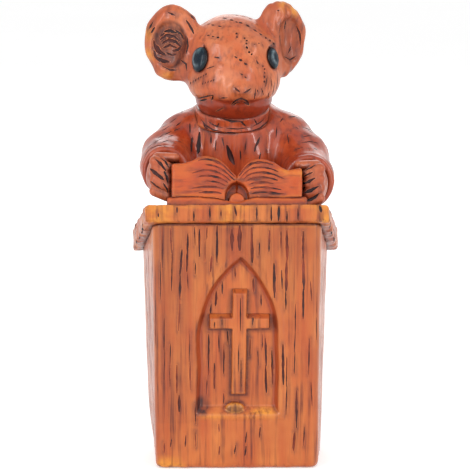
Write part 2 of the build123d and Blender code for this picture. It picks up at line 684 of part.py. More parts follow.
def make_paw(name, others):
    """A palm with stacked fingers that close on the book's edge, on a wrist that plugs into the sleeve."""
    side = SIDES[name]
    middle = paw_middle(name)
    palm = Box(PALM_WIDTH, PALM_DEPTH, PALM_HEIGHT)
    paw = Pos(*middle) * fillet(palm.edges(), PALM_EDGE_R)
    slant = radians(FINGER_SLANT)
    along = Vector(-side * cos(slant), 0, -sin(slant))
    for index in range(FINGER_COUNT):
        height = (index - (FINGER_COUNT - 1) / 2) * FINGER_SPREAD
        knuckle = middle + Vector(side * FINGER_LENGTH / 2, (FINGER_R - PALM_DEPTH) / 2, height)
        tip = knuckle + along * FINGER_LENGTH
        paw += rod(knuckle, along, FINGER_R, FINGER_LENGTH)
        paw += Pos(*knuckle) * Sphere(FINGER_R)
        paw += Pos(*tip) * Sphere(FINGER_R)
    start, way = wrist_line(name)
    paw += rod(start, way.normalized(), WRIST_R, way.length + WRIST_PEG_LENGTH)
    for other in others:
        paw -= other
    return largest(paw)


def tail_middle(share):
    """A point on the tail's middle line: out of the robe, then round the hem along the floor."""
    angle = radians(TAIL_START_ANGLE + (TAIL_END_ANGLE - TAIL_START_ANGLE) * share)
    inside = TAIL_ROOT_DEPTH * max(0, 1 - share / TAIL_ROOT_SHARE) ** 2
    off = tail_r(share) - TAIL_OVERLAP - inside
    across = ROBE_HEM_HALF_WIDTH + off
    deep = ROBE_HEM_HALF_DEPTH + off
    return Vector(across * cos(angle), PULPIT_BACK_Y + ROBE_SETBACK + deep * sin(angle), tail_r(share))


def tail_r(share):
    return TAIL_ROOT_R + (TAIL_TIP_R - TAIL_ROOT_R) * share


def tail_section(share):
    step = 0.01
    direction = tail_middle(share + step) - tail_middle(share - step)
    return round_section(tail_middle(share), direction, tail_r(share))


def tail_peg():
    """Start and direction of the tail's peg, from its root into the robe."""
    root = tail_middle(TAIL_ROOT_SHARE)
    return root, Vector(0, -1, 0)


def make_tail(robe_blank):
    tail = loft([tail_section(index / (TAIL_STATIONS - 1)) for index in range(TAIL_STATIONS)])
    tail = largest(tail - robe_blank)
    return largest(tail + peg(*tail_peg(), TAIL_ROOT_R * 0.5, 2 * TAIL_PEG_LENGTH))


def make_all():
    parts = {}
    parts["pulpit_body"] = make_pulpit()
    parts["niche_cross"] = make_cross()
    parts["desk_board"] = make_board()
    cover = make_cover()
    parts["book_cover"] = cover
    parts["book_spine_lining"] = make_spine_lining(cover)
    for name in SIDES:
        parts[f"book_pages_{name}"] = make_pages(name, cover)
    robe_blank = robe_body()
    head_blank = head_body()
    eye_frames = {name: eye_frame(name, head_blank) for name in SIDES}
    in_front = ["desk_board", "book_cover", "book_spine_lining", "book_pages_left", "book_pages_right"]
    parts["robe"] = make_robe(robe_blank, [pulpit_envelope()] + [parts[node] for node in in_front])
    parts["head"] = make_head(head_blank, eye_frames)
    parts["collar"] = make_collar(head_blank)
    for name in SIDES:
        parts[f"ear_{name}"] = make_ear(name, head_blank)
        parts[f"eye_{name}"] = make_eye(eye_frames[name], head_blank)
        desk = [cover, parts[f"book_pages_{name}"], parts["desk_board"]]
        parts[f"paw_{name}"] = make_paw(name, desk)
        parts[f"sleeve_{name}"] = make_sleeve(name, robe_blank, desk + [parts["collar"], head_blank])
    parts["tail"] = make_tail(robe_blank)
    return parts


if __name__ == "__main__":
    os.makedirs("parts", exist_ok=True)
    for node, solid in make_all().items():
        export_step(solid, f"parts/{node}.step")
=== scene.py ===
import math

import bpy
import numpy as np
from mathutils import Matrix, Vector
from mathutils.bvhtree import BVHTree
from mathutils.kdtree import KDTree


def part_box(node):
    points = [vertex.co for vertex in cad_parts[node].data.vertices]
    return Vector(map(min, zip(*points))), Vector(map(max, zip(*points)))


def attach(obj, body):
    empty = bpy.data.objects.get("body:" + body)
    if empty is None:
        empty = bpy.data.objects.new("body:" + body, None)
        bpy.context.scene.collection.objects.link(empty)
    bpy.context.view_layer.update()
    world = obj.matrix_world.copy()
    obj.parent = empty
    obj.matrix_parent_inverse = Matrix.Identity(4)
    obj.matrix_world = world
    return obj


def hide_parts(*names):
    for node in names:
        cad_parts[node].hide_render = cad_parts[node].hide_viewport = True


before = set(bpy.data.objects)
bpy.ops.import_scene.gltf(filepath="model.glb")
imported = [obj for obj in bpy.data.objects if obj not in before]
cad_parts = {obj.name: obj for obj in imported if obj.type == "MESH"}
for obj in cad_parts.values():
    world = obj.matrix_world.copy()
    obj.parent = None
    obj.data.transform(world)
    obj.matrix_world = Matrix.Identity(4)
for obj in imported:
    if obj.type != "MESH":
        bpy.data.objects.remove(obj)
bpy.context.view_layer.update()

# The figurine is sculpted as distance fields in millimetres, skinned to meshes in metres, carved with gouge
# strokes and stained. Left and right are as the camera sees them.

MM = 0.001
SIDES = {"left": -1, "right": 1}
COARSE = 1.0

# Pulpit, board and book
FRONT_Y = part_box("pulpit_body")[0].y / MM
BACK_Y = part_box("pulpit_body")[1].y / MM
PULPIT_HALF_FRONT = (17.5, 17.9)  # at the floor and at the top
PULPIT_HALF_BACK = (19.1, 20.9)
PULPIT_TOP_Z = 54.4
BOARD_FRONT_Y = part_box("desk_board")[0].y / MM
BOARD_BACK_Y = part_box("desk_board")[1].y / MM
BOARD_TOP_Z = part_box("desk_board")[1].z / MM
BOARD_HALF_FRONT = 19.7
BOARD_HALF_BACK = 22.9
BOARD_SLOPE = math.radians(19.0)
UNDERSIDE_Z = 54.37  # the board's underside at its front edge
UNDERSIDE_FALL = 0.406
NICHE_HALF = 8.95
NICHE_SILL_Z = 12.15
NICHE_SPRING_Z = 28.6
NICHE_APEX_Z = 46.6
NICHE_DEPTH = 1.6
CROSS_X = 0.55
CROSS_BAR = 3.3
CROSS_RELIEF = 1.35
BOOK_SETBACK = 1.2
BOOK_DEPTH = 15.5
COVER_HALF = 15.0
COVER_THICKNESS = 2.0
PAGE_HALF = 14.0
SPINE_HOLLOW_R = 2.6
LINING_R = 1.7

# Mouse
HEAD_MIDDLE = np.array([-0.6, BACK_Y + 2.6, BOARD_TOP_Z + 27.9])
HEAD_TURN = math.radians(7.0)
EAR_MIDDLE = {"left": (-13.2, 0.6, 4.9), "right": (10.7, 0.6, 5.4)}
EAR_SPLAY = math.radians(24.0)
EYE_SPLAY = math.radians(53.0)
EYE_RISE = 1.8
EYE_ROLL = math.radians(13.0)
EYE_RADII = {"left": (2.25, 3.0, 1.15), "right": (1.9, 2.45, 1.1)}
COLLAR_MIDDLE = np.array([-0.6, BACK_Y + 3.5, BOARD_TOP_Z + 15.5])
COLLAR_LEAN = math.radians(14.0)
CUFF_MIDDLE = {"left": (-15.4, -7.0, 63.6), "right": (15.9, -7.0, 61.2)}
CUFF_R = {"left": 4.9, "right": 5.3}
PAW_MIDDLE = {"left": (-16.4, -12.4, 63.0), "right": (16.7, -12.4, 61.3)}
TAIL_R = (1.9, 0.8)
HEM_HALF = (16.0, 12.0)
HEM_MIDDLE_Y = BACK_Y + 6.6
SKIRT_TOP_Z = 45.4
SKIRT_TAPER = (3.6, 2.6)

# Camera, as the photograph was framed: a long lens a little above the desk
CAMERA_RISE = math.radians(8.0)
CAMERA_TURN = math.radians(-1.0)
CAMERA_AWAY = 650.0
CAMERA_TARGET = np.array([-0.085, 0.0, 48.46])
LENS_MM = 224.86
SENSOR_MM = 36.0
FRAME_PX = 470


# Distance fields

def length(v):
    return np.sqrt((v * v).sum(axis=1))


def soft_min(a, b, k):
    """The nearer of two surfaces, with a fillet about k wide."""
    h = np.clip(0.5 + 0.5 * (b - a) / k, 0, 1)
    return b * (1 - h) + a * h - k * h * (1 - h)


def soft_max(a, b, k):
    return -soft_min(-a, -b, k)


def turn_z(p, angle):
    c, s = math.cos(angle), math.sin(angle)
    return np.stack([c * p[:, 0] + s * p[:, 1], c * p[:, 1] - s * p[:, 0], p[:, 2]], axis=1)


def egg(p, middle, radii):
    q = (p - np.asarray(middle, float)) / radii
    near = length(q)
    return near * (near - 1) / np.maximum(length(q / radii), 1e-6)


def limb(p, start, end, r_start, r_end):
    """A bar with round ends whose radius changes evenly."""
    a = np.asarray(start, float)
    way = np.asarray(end, float) - a
    t = np.clip((p - a) @ way / (way @ way), 0, 1)
    return length(p - a - t[:, None] * way) - (r_start + (r_end - r_start) * t)


def chain(p, points, radii, k):
    field = limb(p, points[0], points[1], radii[0], radii[1])
    for i in range(1, len(points) - 1):
        field = soft_min(field, limb(p, points[i], points[i + 1], radii[i], radii[i + 1]), k)
    return field


def ripple(p, size, seed):
    """Smooth waves about size apart, from -1 to 1, for hand-worked unevenness."""
    rng = np.random.default_rng(seed)
    total = np.zeros(len(p))
    waves = 5
    for _ in range(waves):
        way = rng.normal(size=3)
        way *= 2 * math.pi / (size * rng.uniform(0.7, 1.4) * np.linalg.norm(way))
        total += np.sin(p @ way + rng.uniform(0, 2 * math.pi))
    return total / waves


def through(x, places, values):
    """A smooth curve through a few points."""
    places = np.asarray(places, float)
    values = np.asarray(values, float)
    tangents = np.gradient(values, places)
    i = np.clip(np.searchsorted(places, x) - 1, 0, len(places) - 2)
    gap = places[i + 1] - places[i]
    t = np.clip((x - places[i]) / gap, 0, 1)
    left = (1 + 2 * t) * (1 - t) ** 2 * values[i] + t * (1 - t) ** 2 * gap * tangents[i]
    right = t * t * (3 - 2 * t) * values[i + 1] + t * t * (t - 1) * gap * tangents[i + 1]
    return left + right


def graft(part, host, k, sink=0.12, root=1.2, reach=2.5):
    """A part that flows into its host: its foot flares over the host's skin and ends just under it."""
    flared = soft_min(part, host + sink, k)
    return np.maximum(np.maximum(flared, -(host + root)), part - reach)


# Skins

def skin(field, low, high, step):
    """Vertices and quads of the surface where a field is zero, one vertex to a cell."""
    low = np.asarray(low, float)
    counts = np.ceil((np.asarray(high, float) - low) / step).astype(int) + 1
    lines = [low[i] + step * np.arange(counts[i]) for i in range(3)]
    ys, zs = np.meshgrid(lines[1], lines[2], indexing="ij")
    values = np.empty(counts)
    for i, x in enumerate(lines[0]):
        slab = np.stack([np.full(ys.size, x), ys.ravel(), zs.ravel()], axis=1)
        values[i] = field(slab).reshape(ys.shape)
    inside = values < 0
    if inside[[0, -1]].any() or inside[:, [0, -1]].any() or inside[:, :, [0, -1]].any():
        raise ValueError("a field reaches its box")
    corners = [(i, j, k) for i in (0, 1) for j in (0, 1) for k in (0, 1)]

    def corner(grid, c):
        return grid[c[0]:counts[0] - 1 + c[0], c[1]:counts[1] - 1 + c[1], c[2]:counts[2] - 1 + c[2]]

    filled = sum(corner(inside, c).astype(np.int8) for c in corners)
    active = (filled > 0) & (filled < 8)
    index = np.full(active.shape, -1)
    index[active] = np.arange(active.sum())
    total = np.zeros((active.sum(), 3))
    hits = np.zeros(active.sum())
    for a in corners:
        for b in corners:
            if sum(b) != sum(a) + 1 or sum(abs(np.subtract(a, b))) != 1:
                continue
            va = corner(values, a)[active]
            vb = corner(values, b)[active]
            cut = (va < 0) != (vb < 0)
            t = np.where(cut, va / np.where(cut, va - vb, 1), 0)
            point = np.asarray(a) + t[:, None] * (np.asarray(b) - np.asarray(a))
            total += np.where(cut[:, None], point, 0)
            hits += cut
    vertices = low + step * (np.argwhere(active) + total / hits[:, None])
    faces = []
    for axis in range(3):
        b, c = (axis + 1) % 3, (axis + 2) % 3
        lower = np.take(inside, range(counts[axis] - 1), axis)
        upper = np.take(inside, range(1, counts[axis]), axis)
        place = np.argwhere(lower != upper)
        room = (place[:, b] > 0) & (place[:, c] > 0)
        room &= (place[:, b] < counts[b] - 1) & (place[:, c] < counts[c] - 1)
        place = place[room]
        ring = []
        for back_b, back_c in ((1, 1), (0, 1), (0, 0), (1, 0)):
            cell = place.copy()
            cell[:, b] -= back_b
            cell[:, c] -= back_c
            ring.append(index[tuple(cell.T)])
        quads = np.stack(ring, axis=1)
        outward = lower[tuple(place.T)]
        quads[~outward] = quads[~outward][:, ::-1]
        faces.append(quads)
    return vertices, np.concatenate(faces)


def slope(field, p, h=0.03):
    steps = np.eye(3) * h
    return np.stack([(field(p + s) - field(p - s)) / (2 * h) for s in steps], axis=1)


def settle(field, p, limit):
    """Moves points onto the field's surface."""
    for _ in range(3):
        g = slope(field, p)
        move = field(p) / np.maximum((g * g).sum(axis=1), 0.2)
        p = p - np.clip(move, -limit, limit)[:, None] * g
    return p


def relax(p, faces):
    """Evens out a mesh by moving each point towards its neighbours' middle."""
    total = np.zeros_like(p)
    count = np.zeros(len(p))
    for i in range(4):
        a, b = faces[:, i], faces[:, (i + 1) % 4]
        np.add.at(total, a, p[b])
        np.add.at(total, b, p[a])
        np.add.at(count, a, 1)
        np.add.at(count, b, 1)
    return 0.5 * p + 0.5 * total / np.maximum(count, 1)[:, None]


def sculpt(name, field, low, high, step, near=(), tints=None):
    """A piece's mesh with its stain and shade attributes: hollow, for a stain wash with painted shade in
    creases and beside nearby pieces, edge, and whatever tints the piece is given.
    """
    step *= COARSE
    points, faces = skin(field, low, high, step)
    points = settle(field, points, step)
    points = settle(field, relax(points, faces), step)
    g = slope(field, points)
    steep = np.maximum(length(g), 1e-6)
    normals = g / steep[:, None]

    def around(q):
        return np.minimum.reduce([field(q) / steep] + [other(q) for other in near])

    # hollow: darker in creases and where nearby pieces come close, a stain wash in the hollows together with
    # painted shade in creases and between parts
    crease = sum(np.clip(1 - around(points + normals * d) / d, 0, 1) for d in (0.5, 1.6)) / 2
    edge = np.clip(1 + field(points - normals * 0.8) / (0.8 * steep), 0, 1)
    mesh = bpy.data.meshes.new(name)
    mesh.from_pydata((points * MM).tolist(), [], faces.tolist())
    mesh.polygons.foreach_set("use_smooth", [True] * len(mesh.polygons))
    piece = bpy.data.objects.new(name, mesh)
    bpy.context.scene.collection.objects.link(piece)
    layers = {"hollow": crease, "edge": edge}
    layers.update({key: tint(points) for key, tint in (tints or {}).items()})
    for key, values in layers.items():
        layer = mesh.attributes.new(key, "FLOAT", "POINT")
        layer.data.foreach_set("value", np.clip(values, 0, 1).astype(np.float32))
    return piece


def even(share):
    """A tint that is the same all over a piece."""
    return lambda p: np.full(len(p), share)


# Gouge strokes

def camera_axes():
    """The camera's place, and its right, up and back directions."""
    ce, se = math.cos(CAMERA_RISE), math.sin(CAMERA_RISE)
    ca, sa = math.cos(CAMERA_TURN), math.sin(CAMERA_TURN)
    back = np.array([sa * ce, -ca * ce, se])
    right = np.array([ca, sa, 0.0])
    up = np.cross(back, right)
    return CAMERA_TARGET + back * CAMERA_AWAY, right, up, back


def seen_at(px, py):
    """The camera's ray through a pixel of the photograph, in millimetres."""
    eye, right, up, back = camera_axes()
    per_px = SENSOR_MM / FRAME_PX / LENS_MM
    middle = FRAME_PX / 2
    way = right * (px - middle) * per_px + up * (middle - py) * per_px - back
    return eye, way / np.linalg.norm(way)


class Surface:
    """A piece's skin, for laying strokes on it."""

    def __init__(self, piece):
        mesh = piece.data
        points = [v.co / MM for v in mesh.vertices]
        self.tree = BVHTree.FromPolygons(points, [tuple(f.vertices) for f in mesh.polygons])

    def under_pixel(self, px, py):
        start, way = seen_at(px, py)
        hit, normal, _, _ = self.tree.ray_cast(Vector(start), Vector(way))
        return (hit, normal) if hit else None

    def nearest(self, point):
        hit, normal, _, _ = self.tree.find_nearest(Vector(point))
        return hit, normal


def boat(points, width, blunt=0.6, depth=0.65):
    """A stroke that is widest in the middle and runs out at both ends: points with their normals become
    (place, radius) pairs. A line that falls together, where it runs off the piece, gives none."""
    gap = max(0.15, 0.5 * width)
    hand = np.random.default_rng([int(1000 * abs(value)) for value in points[0][0]])
    run = sum((b[0] - a[0]).length for a, b in zip(points, points[1:]))
    stroke = []
    if run < 0.3:
        return stroke
    last = max(2, min(len(points) - 1, int(run / gap)))
    apart = [points[round(i * (len(points) - 1) / last)] for i in range(last + 1)]
    if min((b[0] - a[0]).length for a, b in zip(apart, apart[1:])) < 0.1:
        return stroke
    for i, (place, normal) in enumerate(apart):
        swell = max(math.sin(math.pi * (0.04 + 0.92 * i / last)), 0) ** blunt
        radius = 0.5 * width * max(swell * hand.uniform(0.6, 1.1), 0.12)
        along = (apart[min(i + 1, last)][0] - apart[max(i - 1, 0)][0]).normalized()
        wander = normal.cross(along) * hand.uniform(-1, 1) * min(0.07, 0.1 * gap)
        stroke.append((place + wander + normal * (radius * (1 - depth)), radius))
    return stroke


def photo_strokes(surface, marks, default_width, joints=5, blunt=0.6):
    """Strokes along lines of the photograph. A mark is a width in millimetres, or None, and pixel points."""
    strokes = []
    for width, *corners in marks:
        corners = np.asarray(corners, float)
        run = np.linalg.norm(np.diff(corners, axis=0), axis=1).sum()
        along = np.linspace(0, len(corners) - 1, max(joints, 3 * len(corners) - 2, int(run / 3.5)))
        xs = np.interp(along, range(len(corners)), corners[:, 0])
        ys = np.interp(along, range(len(corners)), corners[:, 1])
        points = [hit for hit in (surface.under_pixel(x, y) for x, y in zip(xs, ys)) if hit]
        if len(points) >= 3:
            strokes.append(boat(points, width or default_width, blunt))
    return strokes


def dash_row(corners, dashes, share=0.55, width=None):
    """Marks for a row of short dashes along a line of the photograph."""
    corners = np.asarray(corners, float)
    marks = []
    for i in range(dashes):
        ends = np.array([i + 0.5 - share / 2, i + 0.5 + share / 2]) / dashes * (len(corners) - 1)
        xs = np.interp(ends, range(len(corners)), corners[:, 0])
        ys = np.interp(ends, range(len(corners)), corners[:, 1])
        marks.append((width, (xs[0], ys[0]), (xs[1], ys[1])))
    return marks


def loose_strokes(surface, starts, way, lengths, width, rng, joints=5):
    """Strokes scattered from given points, each running about one way along the skin."""
    strokes = []
    way = np.asarray(way, float)
    for start in starts:
        run = rng.uniform(*lengths)
        lean = way + rng.normal(size=3) * 0.08
        points = [surface.nearest(start + lean * run * (i / (joints - 1) - 0.5)) for i in range(joints)]
        strokes.append(boat(points, width * rng.uniform(0.6, 1.2)))
    return strokes


def carving_tree():
    """Cuts tapered gouges into a piece along stroke curves, and stains the cut faces."""
    tree = bpy.data.node_groups.new("carved_strokes", "GeometryNodeTree")
    face = tree.interface
    face.new_socket("Geometry", in_out="INPUT", socket_type="NodeSocketGeometry")
    face.new_socket("Strokes", in_out="INPUT", socket_type="NodeSocketObject")
    face.new_socket("Gouge sides", in_out="INPUT", socket_type="NodeSocketInt").default_value = 8
    face.new_socket("Stain", in_out="INPUT", socket_type="NodeSocketMaterial")
    face.new_socket("Geometry", in_out="OUTPUT", socket_type="NodeSocketGeometry")
    new, link = tree.nodes.new, tree.links.new
    given = new("NodeGroupInput")
    result = new("NodeGroupOutput")
    strokes = new("GeometryNodeObjectInfo")
    gouge = new("GeometryNodeCurvePrimitiveCircle")
    gouge.inputs["Radius"].default_value = 1.0
    sweep = new("GeometryNodeCurveToMesh")
    sweep.inputs["Fill Caps"].default_value = True
    mark = new("GeometryNodeStoreNamedAttribute")
    mark.data_type = "FLOAT"
    mark.domain = "FACE"
    mark.inputs["Name"].default_value = "cut"
    mark.inputs["Value"].default_value = 1.0
    cut = new("GeometryNodeMeshBoolean")
    cut.operation = "DIFFERENCE"
    cut.solver = "MANIFOLD"
    is_cut = new("GeometryNodeInputNamedAttribute")
    is_cut.data_type = "FLOAT"
    is_cut.inputs["Name"].default_value = "cut"
    chosen = new("FunctionNodeCompare")
    chosen.operation = "GREATER_THAN"
    chosen.inputs[1].default_value = 0.5
    whole = new("GeometryNodeRealizeInstances")
    stain = new("GeometryNodeSetMaterial")
    link(given.outputs["Strokes"], strokes.inputs["Object"])
    link(given.outputs["Gouge sides"], gouge.inputs["Resolution"])
    link(strokes.outputs["Geometry"], sweep.inputs["Curve"])
    link(gouge.outputs["Curve"], sweep.inputs["Profile Curve"])
    if "Scale" in sweep.inputs:
        radius = new("GeometryNodeInputRadius")
        link(radius.outputs["Radius"], sweep.inputs["Scale"])
    link(sweep.outputs["Mesh"], mark.inputs["Geometry"])
    link(given.outputs["Geometry"], cut.inputs["Mesh 1"])
    link(mark.outputs["Geometry"], cut.inputs["Mesh 2"])
    link(cut.outputs["Mesh"], whole.inputs["Geometry"])
    link(whole.outputs["Geometry"], stain.inputs["Geometry"])
    link(is_cut.outputs["Attribute"], chosen.inputs[0])
    link(chosen.outputs["Result"], stain.inputs["Selection"])
    link(given.outputs["Stain"], stain.inputs["Material"])
    link(stain.outputs["Geometry"], result.inputs["Geometry"])
    return tree


def set_input(modifier, name, value):
    for item in modifier.node_group.interface.items_tree:
        if item.in_out == "INPUT" and item.name == name:
            modifier[item.identifier] = value


def smear_near(piece, strokes, reach=0.75):
    """Marks the skin next to strokes, where the stain was wiped but stayed a little."""
    mesh = piece.data
    places = [place for stroke in strokes for place, _ in stroke]
    tree = KDTree(len(places))
    for i, place in enumerate(places):
        tree.insert(place, i)
    tree.balance()
    near = [tree.find(v.co / MM)[2] for v in mesh.vertices]
    layer = mesh.attributes.new("smear", "FLOAT", "POINT")
    layer.data.foreach_set("value", np.exp(-np.square(np.asarray(near) / reach)).astype(np.float32))


def apart_groups(strokes):
    """Sorts strokes into groups in which none touches another."""
    groups = []
    for stroke in strokes:
        places = np.array([place for place, _ in stroke])
        radii = np.array([radius for _, radius in stroke])
        for group in groups:
            gaps = [np.linalg.norm(places[:, None] - others, axis=2) - radii[:, None] - other_radii
                    for others, other_radii, _ in group]
            if min(gap.min() for gap in gaps) > 0.5:
                group.append((places, radii, stroke))
                break
        else:
            groups.append([(places, radii, stroke)])
    return [[stroke for _, _, stroke in group] for group in groups]


def carve(piece, strokes, stain):
    """Cuts strokes into a piece, those that cross one after the other, and leaves it a plain mesh."""
    strokes = [stroke for stroke in strokes if stroke]
    if not strokes:
        return
    smear_near(piece, strokes)
    for group in apart_groups(strokes):
        cut_group(piece, group, stain)
    piece.data.polygons.foreach_set("use_smooth", [True] * len(piece.data.polygons))
    piece.data.set_sharp_from_angle(angle=math.radians(40))


def cut_group(piece, strokes, stain):
    curve = bpy.data.curves.new(piece.name + "_strokes", "CURVE")
    curve.dimensions = "3D"
    for stroke in strokes:
        line = curve.splines.new("POLY")
        line.points.add(len(stroke) - 1)
        for point, (place, radius) in zip(line.points, stroke):
            point.co = (*(Vector(place) * MM), 1)
            point.radius = radius * MM
    lines = bpy.data.objects.new(curve.name, curve)
    bpy.context.scene.collection.objects.link(lines)
    modifier = piece.modifiers.new("carving", "NODES")
    modifier.node_group = CARVING
    set_input(modifier, "Strokes", lines)
    set_input(modifier, "Stain", stain)
    graph = bpy.context.evaluated_depsgraph_get()
    plain = bpy.data.meshes.new_from_object(piece.evaluated_get(graph))
    piece.modifiers.remove(modifier)
    old = piece.data
    piece.data = plain
    bpy.data.meshes.remove(old)
    plain.name = piece.name
    bpy.data.objects.remove(lines)
    bpy.data.curves.remove(curve)


# Finishes

def colour(red, green, blue):
    """A colour as a screen shows it, 0 to 255, as Blender's linear values."""
    def linear(value):
        value /= 255
        return value / 12.92 if value <= 0.04045 else ((value + 0.055) / 1.055) ** 2.4
    return (linear(red), linear(green), linear(blue), 1.0)


class Finish:
    """A node material under construction."""

    def __init__(self, name):
        self.material = bpy.data.materials.new(name)
        self.material.use_nodes = True
        self.tree = self.material.node_tree
        self.shader = self.tree.nodes["Principled BSDF"]
        self.place = self.node("ShaderNodeTexCoord").outputs["Object"]

    def node(self, kind, **values):
        node = self.tree.nodes.new(kind)
        for key, value in values.items():
            if key in node.inputs:
                node.inputs[key].default_value = value
            else:
                setattr(node, key, value)
        return node

    def link(self, source, target):
        self.tree.links.new(source, target)

    def noise(self, per_metre, detail=4.0, stretch=(1, 1, 1), roughness=0.55):
        placed = self.node("ShaderNodeMapping")
        placed.inputs["Scale"].default_value = stretch
        self.link(self.place, placed.inputs["Vector"])
        noise = self.node("ShaderNodeTexNoise", Scale=per_metre, Detail=detail, Roughness=roughness)
        self.link(placed.outputs["Vector"], noise.inputs["Vector"])
        return noise.outputs["Fac"]

    def layer(self, name):
        return self.node("ShaderNodeAttribute", attribute_name=name).outputs["Fac"]

    def window(self, source, low, high, to_low=0.0, to_high=1.0):
        ranged = self.node("ShaderNodeMapRange")
        for key, value in zip(("From Min", "From Max", "To Min", "To Max"), (low, high, to_low, to_high)):
            ranged.inputs[key].default_value = value
        self.link(source, ranged.inputs["Value"])
        return ranged.outputs["Result"]

    def times(self, a, b):
        product = self.node("ShaderNodeMath", operation="MULTIPLY")
        for socket, value in zip(product.inputs, (a, b)):
            if isinstance(value, (int, float)):
                socket.default_value = value
            else:
                self.link(value, socket)
        return product.outputs["Value"]

    def mix(self, share, under, over):
        mixed = self.node("ShaderNodeMix", data_type="RGBA")
        self.link(share, mixed.inputs["Factor"])
        first, second, result = 6, 7, 2  # the colour sockets among the node's many
        for socket, value in ((mixed.inputs[first], under), (mixed.inputs[second], over)):
            if isinstance(value, tuple):
                socket.default_value = value
            else:
                self.link(value, socket)
        return mixed.outputs[result]

    def bump(self, source, strength, depth_mm):
        bump = self.node("ShaderNodeBump", Strength=strength, Distance=depth_mm * MM)
        self.link(source, bump.inputs["Height"])
        self.link(bump.outputs["Normal"], self.shader.inputs["Normal"])

    def done(self, base, roughness, coat, coat_roughness):
        self.link(base, self.shader.inputs["Base Color"])
        self.link(roughness, self.shader.inputs["Roughness"])
        self.shader.inputs["Coat Weight"].default_value = coat
        self.shader.inputs["Coat Roughness"].default_value = coat_roughness
        return self.material


DARK_TONE_AND_SHADE = colour(58, 30, 30)
STAIN_WASH_AND_SHADE = colour(96, 38, 26)
STAIN_SMEAR = colour(84, 42, 40)
AMBER = colour(222, 142, 50)


def stained_resin(name, full, pale, rich, stretch, gloss, edge_amber, coat, coat_roughness, grain_share):
    """Cast resin stained like wood: two tones in streaks, a stain wash with painted shade dark in the hollows
    and between parts, painted shade in cups and corners, amber where varnish pools.
    """
    f = Finish(name)
    fine = tuple(0.35 * share if share < 1 else share for share in stretch)
    streak = f.window(f.noise(260, 6, stretch), 0.36, 0.64)
    cloud = f.window(f.noise(90, 3), 0.35, 0.68)
    grit = f.noise(1500, 4)
    base = f.mix(streak, full, pale)
    base = f.mix(f.times(cloud, 0.5), base, rich)
    # The rich tint: a deeper tone on paws and ears, and painted shade under the jaw, on the niche's walls and
    # on the cross's upper bevels
    base = f.mix(f.layer("rich"), base, rich)
    rub = f.times(f.window(f.layer("edge"), 0.12, 0.5), f.window(cloud, 0.1, 0.8))
    base = f.mix(f.times(rub, edge_amber), base, AMBER)
    base = f.mix(f.times(f.layer("amber"), f.window(f.noise(330, 4), 0.3, 0.6)), base, AMBER)
    grain = f.times(f.window(f.noise(1100, 3, fine), 0.5, 0.68), f.window(f.noise(160, 2), 0.25, 0.65))
    base = f.mix(f.times(grain, grain_share), base, STAIN_WASH_AND_SHADE)
    # Stain wash and painted shade: the hollow attribute darkens creases and the gaps between parts
    wash_and_shade = f.times(f.window(f.layer("hollow"), 0.08, 0.5), f.window(grit, 0.2, 0.6, 0.5, 1.0))
    base = f.mix(f.times(wash_and_shade, 0.9), base, STAIN_WASH_AND_SHADE)
    # Painted shade in the ears' cups and the niche's lower corner, with the bead's dark middle and a darker
    # upper front, from the deep tint
    dark_tone_and_shade = f.times(f.layer("deep"), f.window(f.noise(650, 5, stretch), 0.34, 0.62, 0.35, 1.0))
    base = f.mix(dark_tone_and_shade, base, DARK_TONE_AND_SHADE)
    smear = f.times(f.layer("smear"), f.window(f.noise(1000, 5, fine), 0.42, 0.64))
    base = f.mix(f.times(smear, 0.75), base, STAIN_SMEAR)
    f.bump(grit, 0.25, 0.12)
    f.shader.inputs["Specular IOR Level"].default_value = 0.25
    return f.done(base, f.window(f.noise(420, 4), 0.3, 0.7, gloss, gloss + 0.18), coat, coat_roughness)


def gouge_stain(name, dark, light):
    """The stain left in the tool cuts."""
    f = Finish(name)
    patch = f.window(f.noise(420, 5, (1, 1, 0.4)), 0.42, 0.64)
    base = f.mix(patch, dark, light)
    f.shader.inputs["Specular IOR Level"].default_value = 0.2
    return f.done(base, f.window(f.noise(900, 3), 0.3, 0.7, 0.4, 0.6), 0.12, 0.25)


def eye_enamel():
    """Dark blue-green enamel with paler swirls and a dark rim, a painted highlight arc towards each eye's
    left, and painted shade where it meets the head.
    """
    f = Finish("eye_enamel")
    swirl = f.window(f.noise(520, 3, (1, 1, 0.6)), 0.55, 0.7)
    base = f.mix(f.times(swirl, 0.7), colour(13, 28, 40), colour(84, 114, 120))
    # Painted highlight: a pale arc inside each eye, strongest towards its left, from the rich tint
    ring = f.times(f.layer("rich"), f.window(f.noise(1500, 3), 0.35, 0.6, 0.4, 1.0))
    base = f.mix(ring, base, colour(138, 152, 158))
    base = f.mix(f.times(f.layer("deep"), 0.9), base, colour(24, 22, 26))
    # Painted shade in the crease where the eye meets the head
    base = f.mix(f.window(f.layer("hollow"), 0.1, 0.5), base, colour(26, 20, 22))
    f.shader.inputs["Specular IOR Level"].default_value = 0.15
    return f.done(base, f.window(f.noise(900, 3), 0.3, 0.7, 0.2, 0.4), 0.1, 0.06)


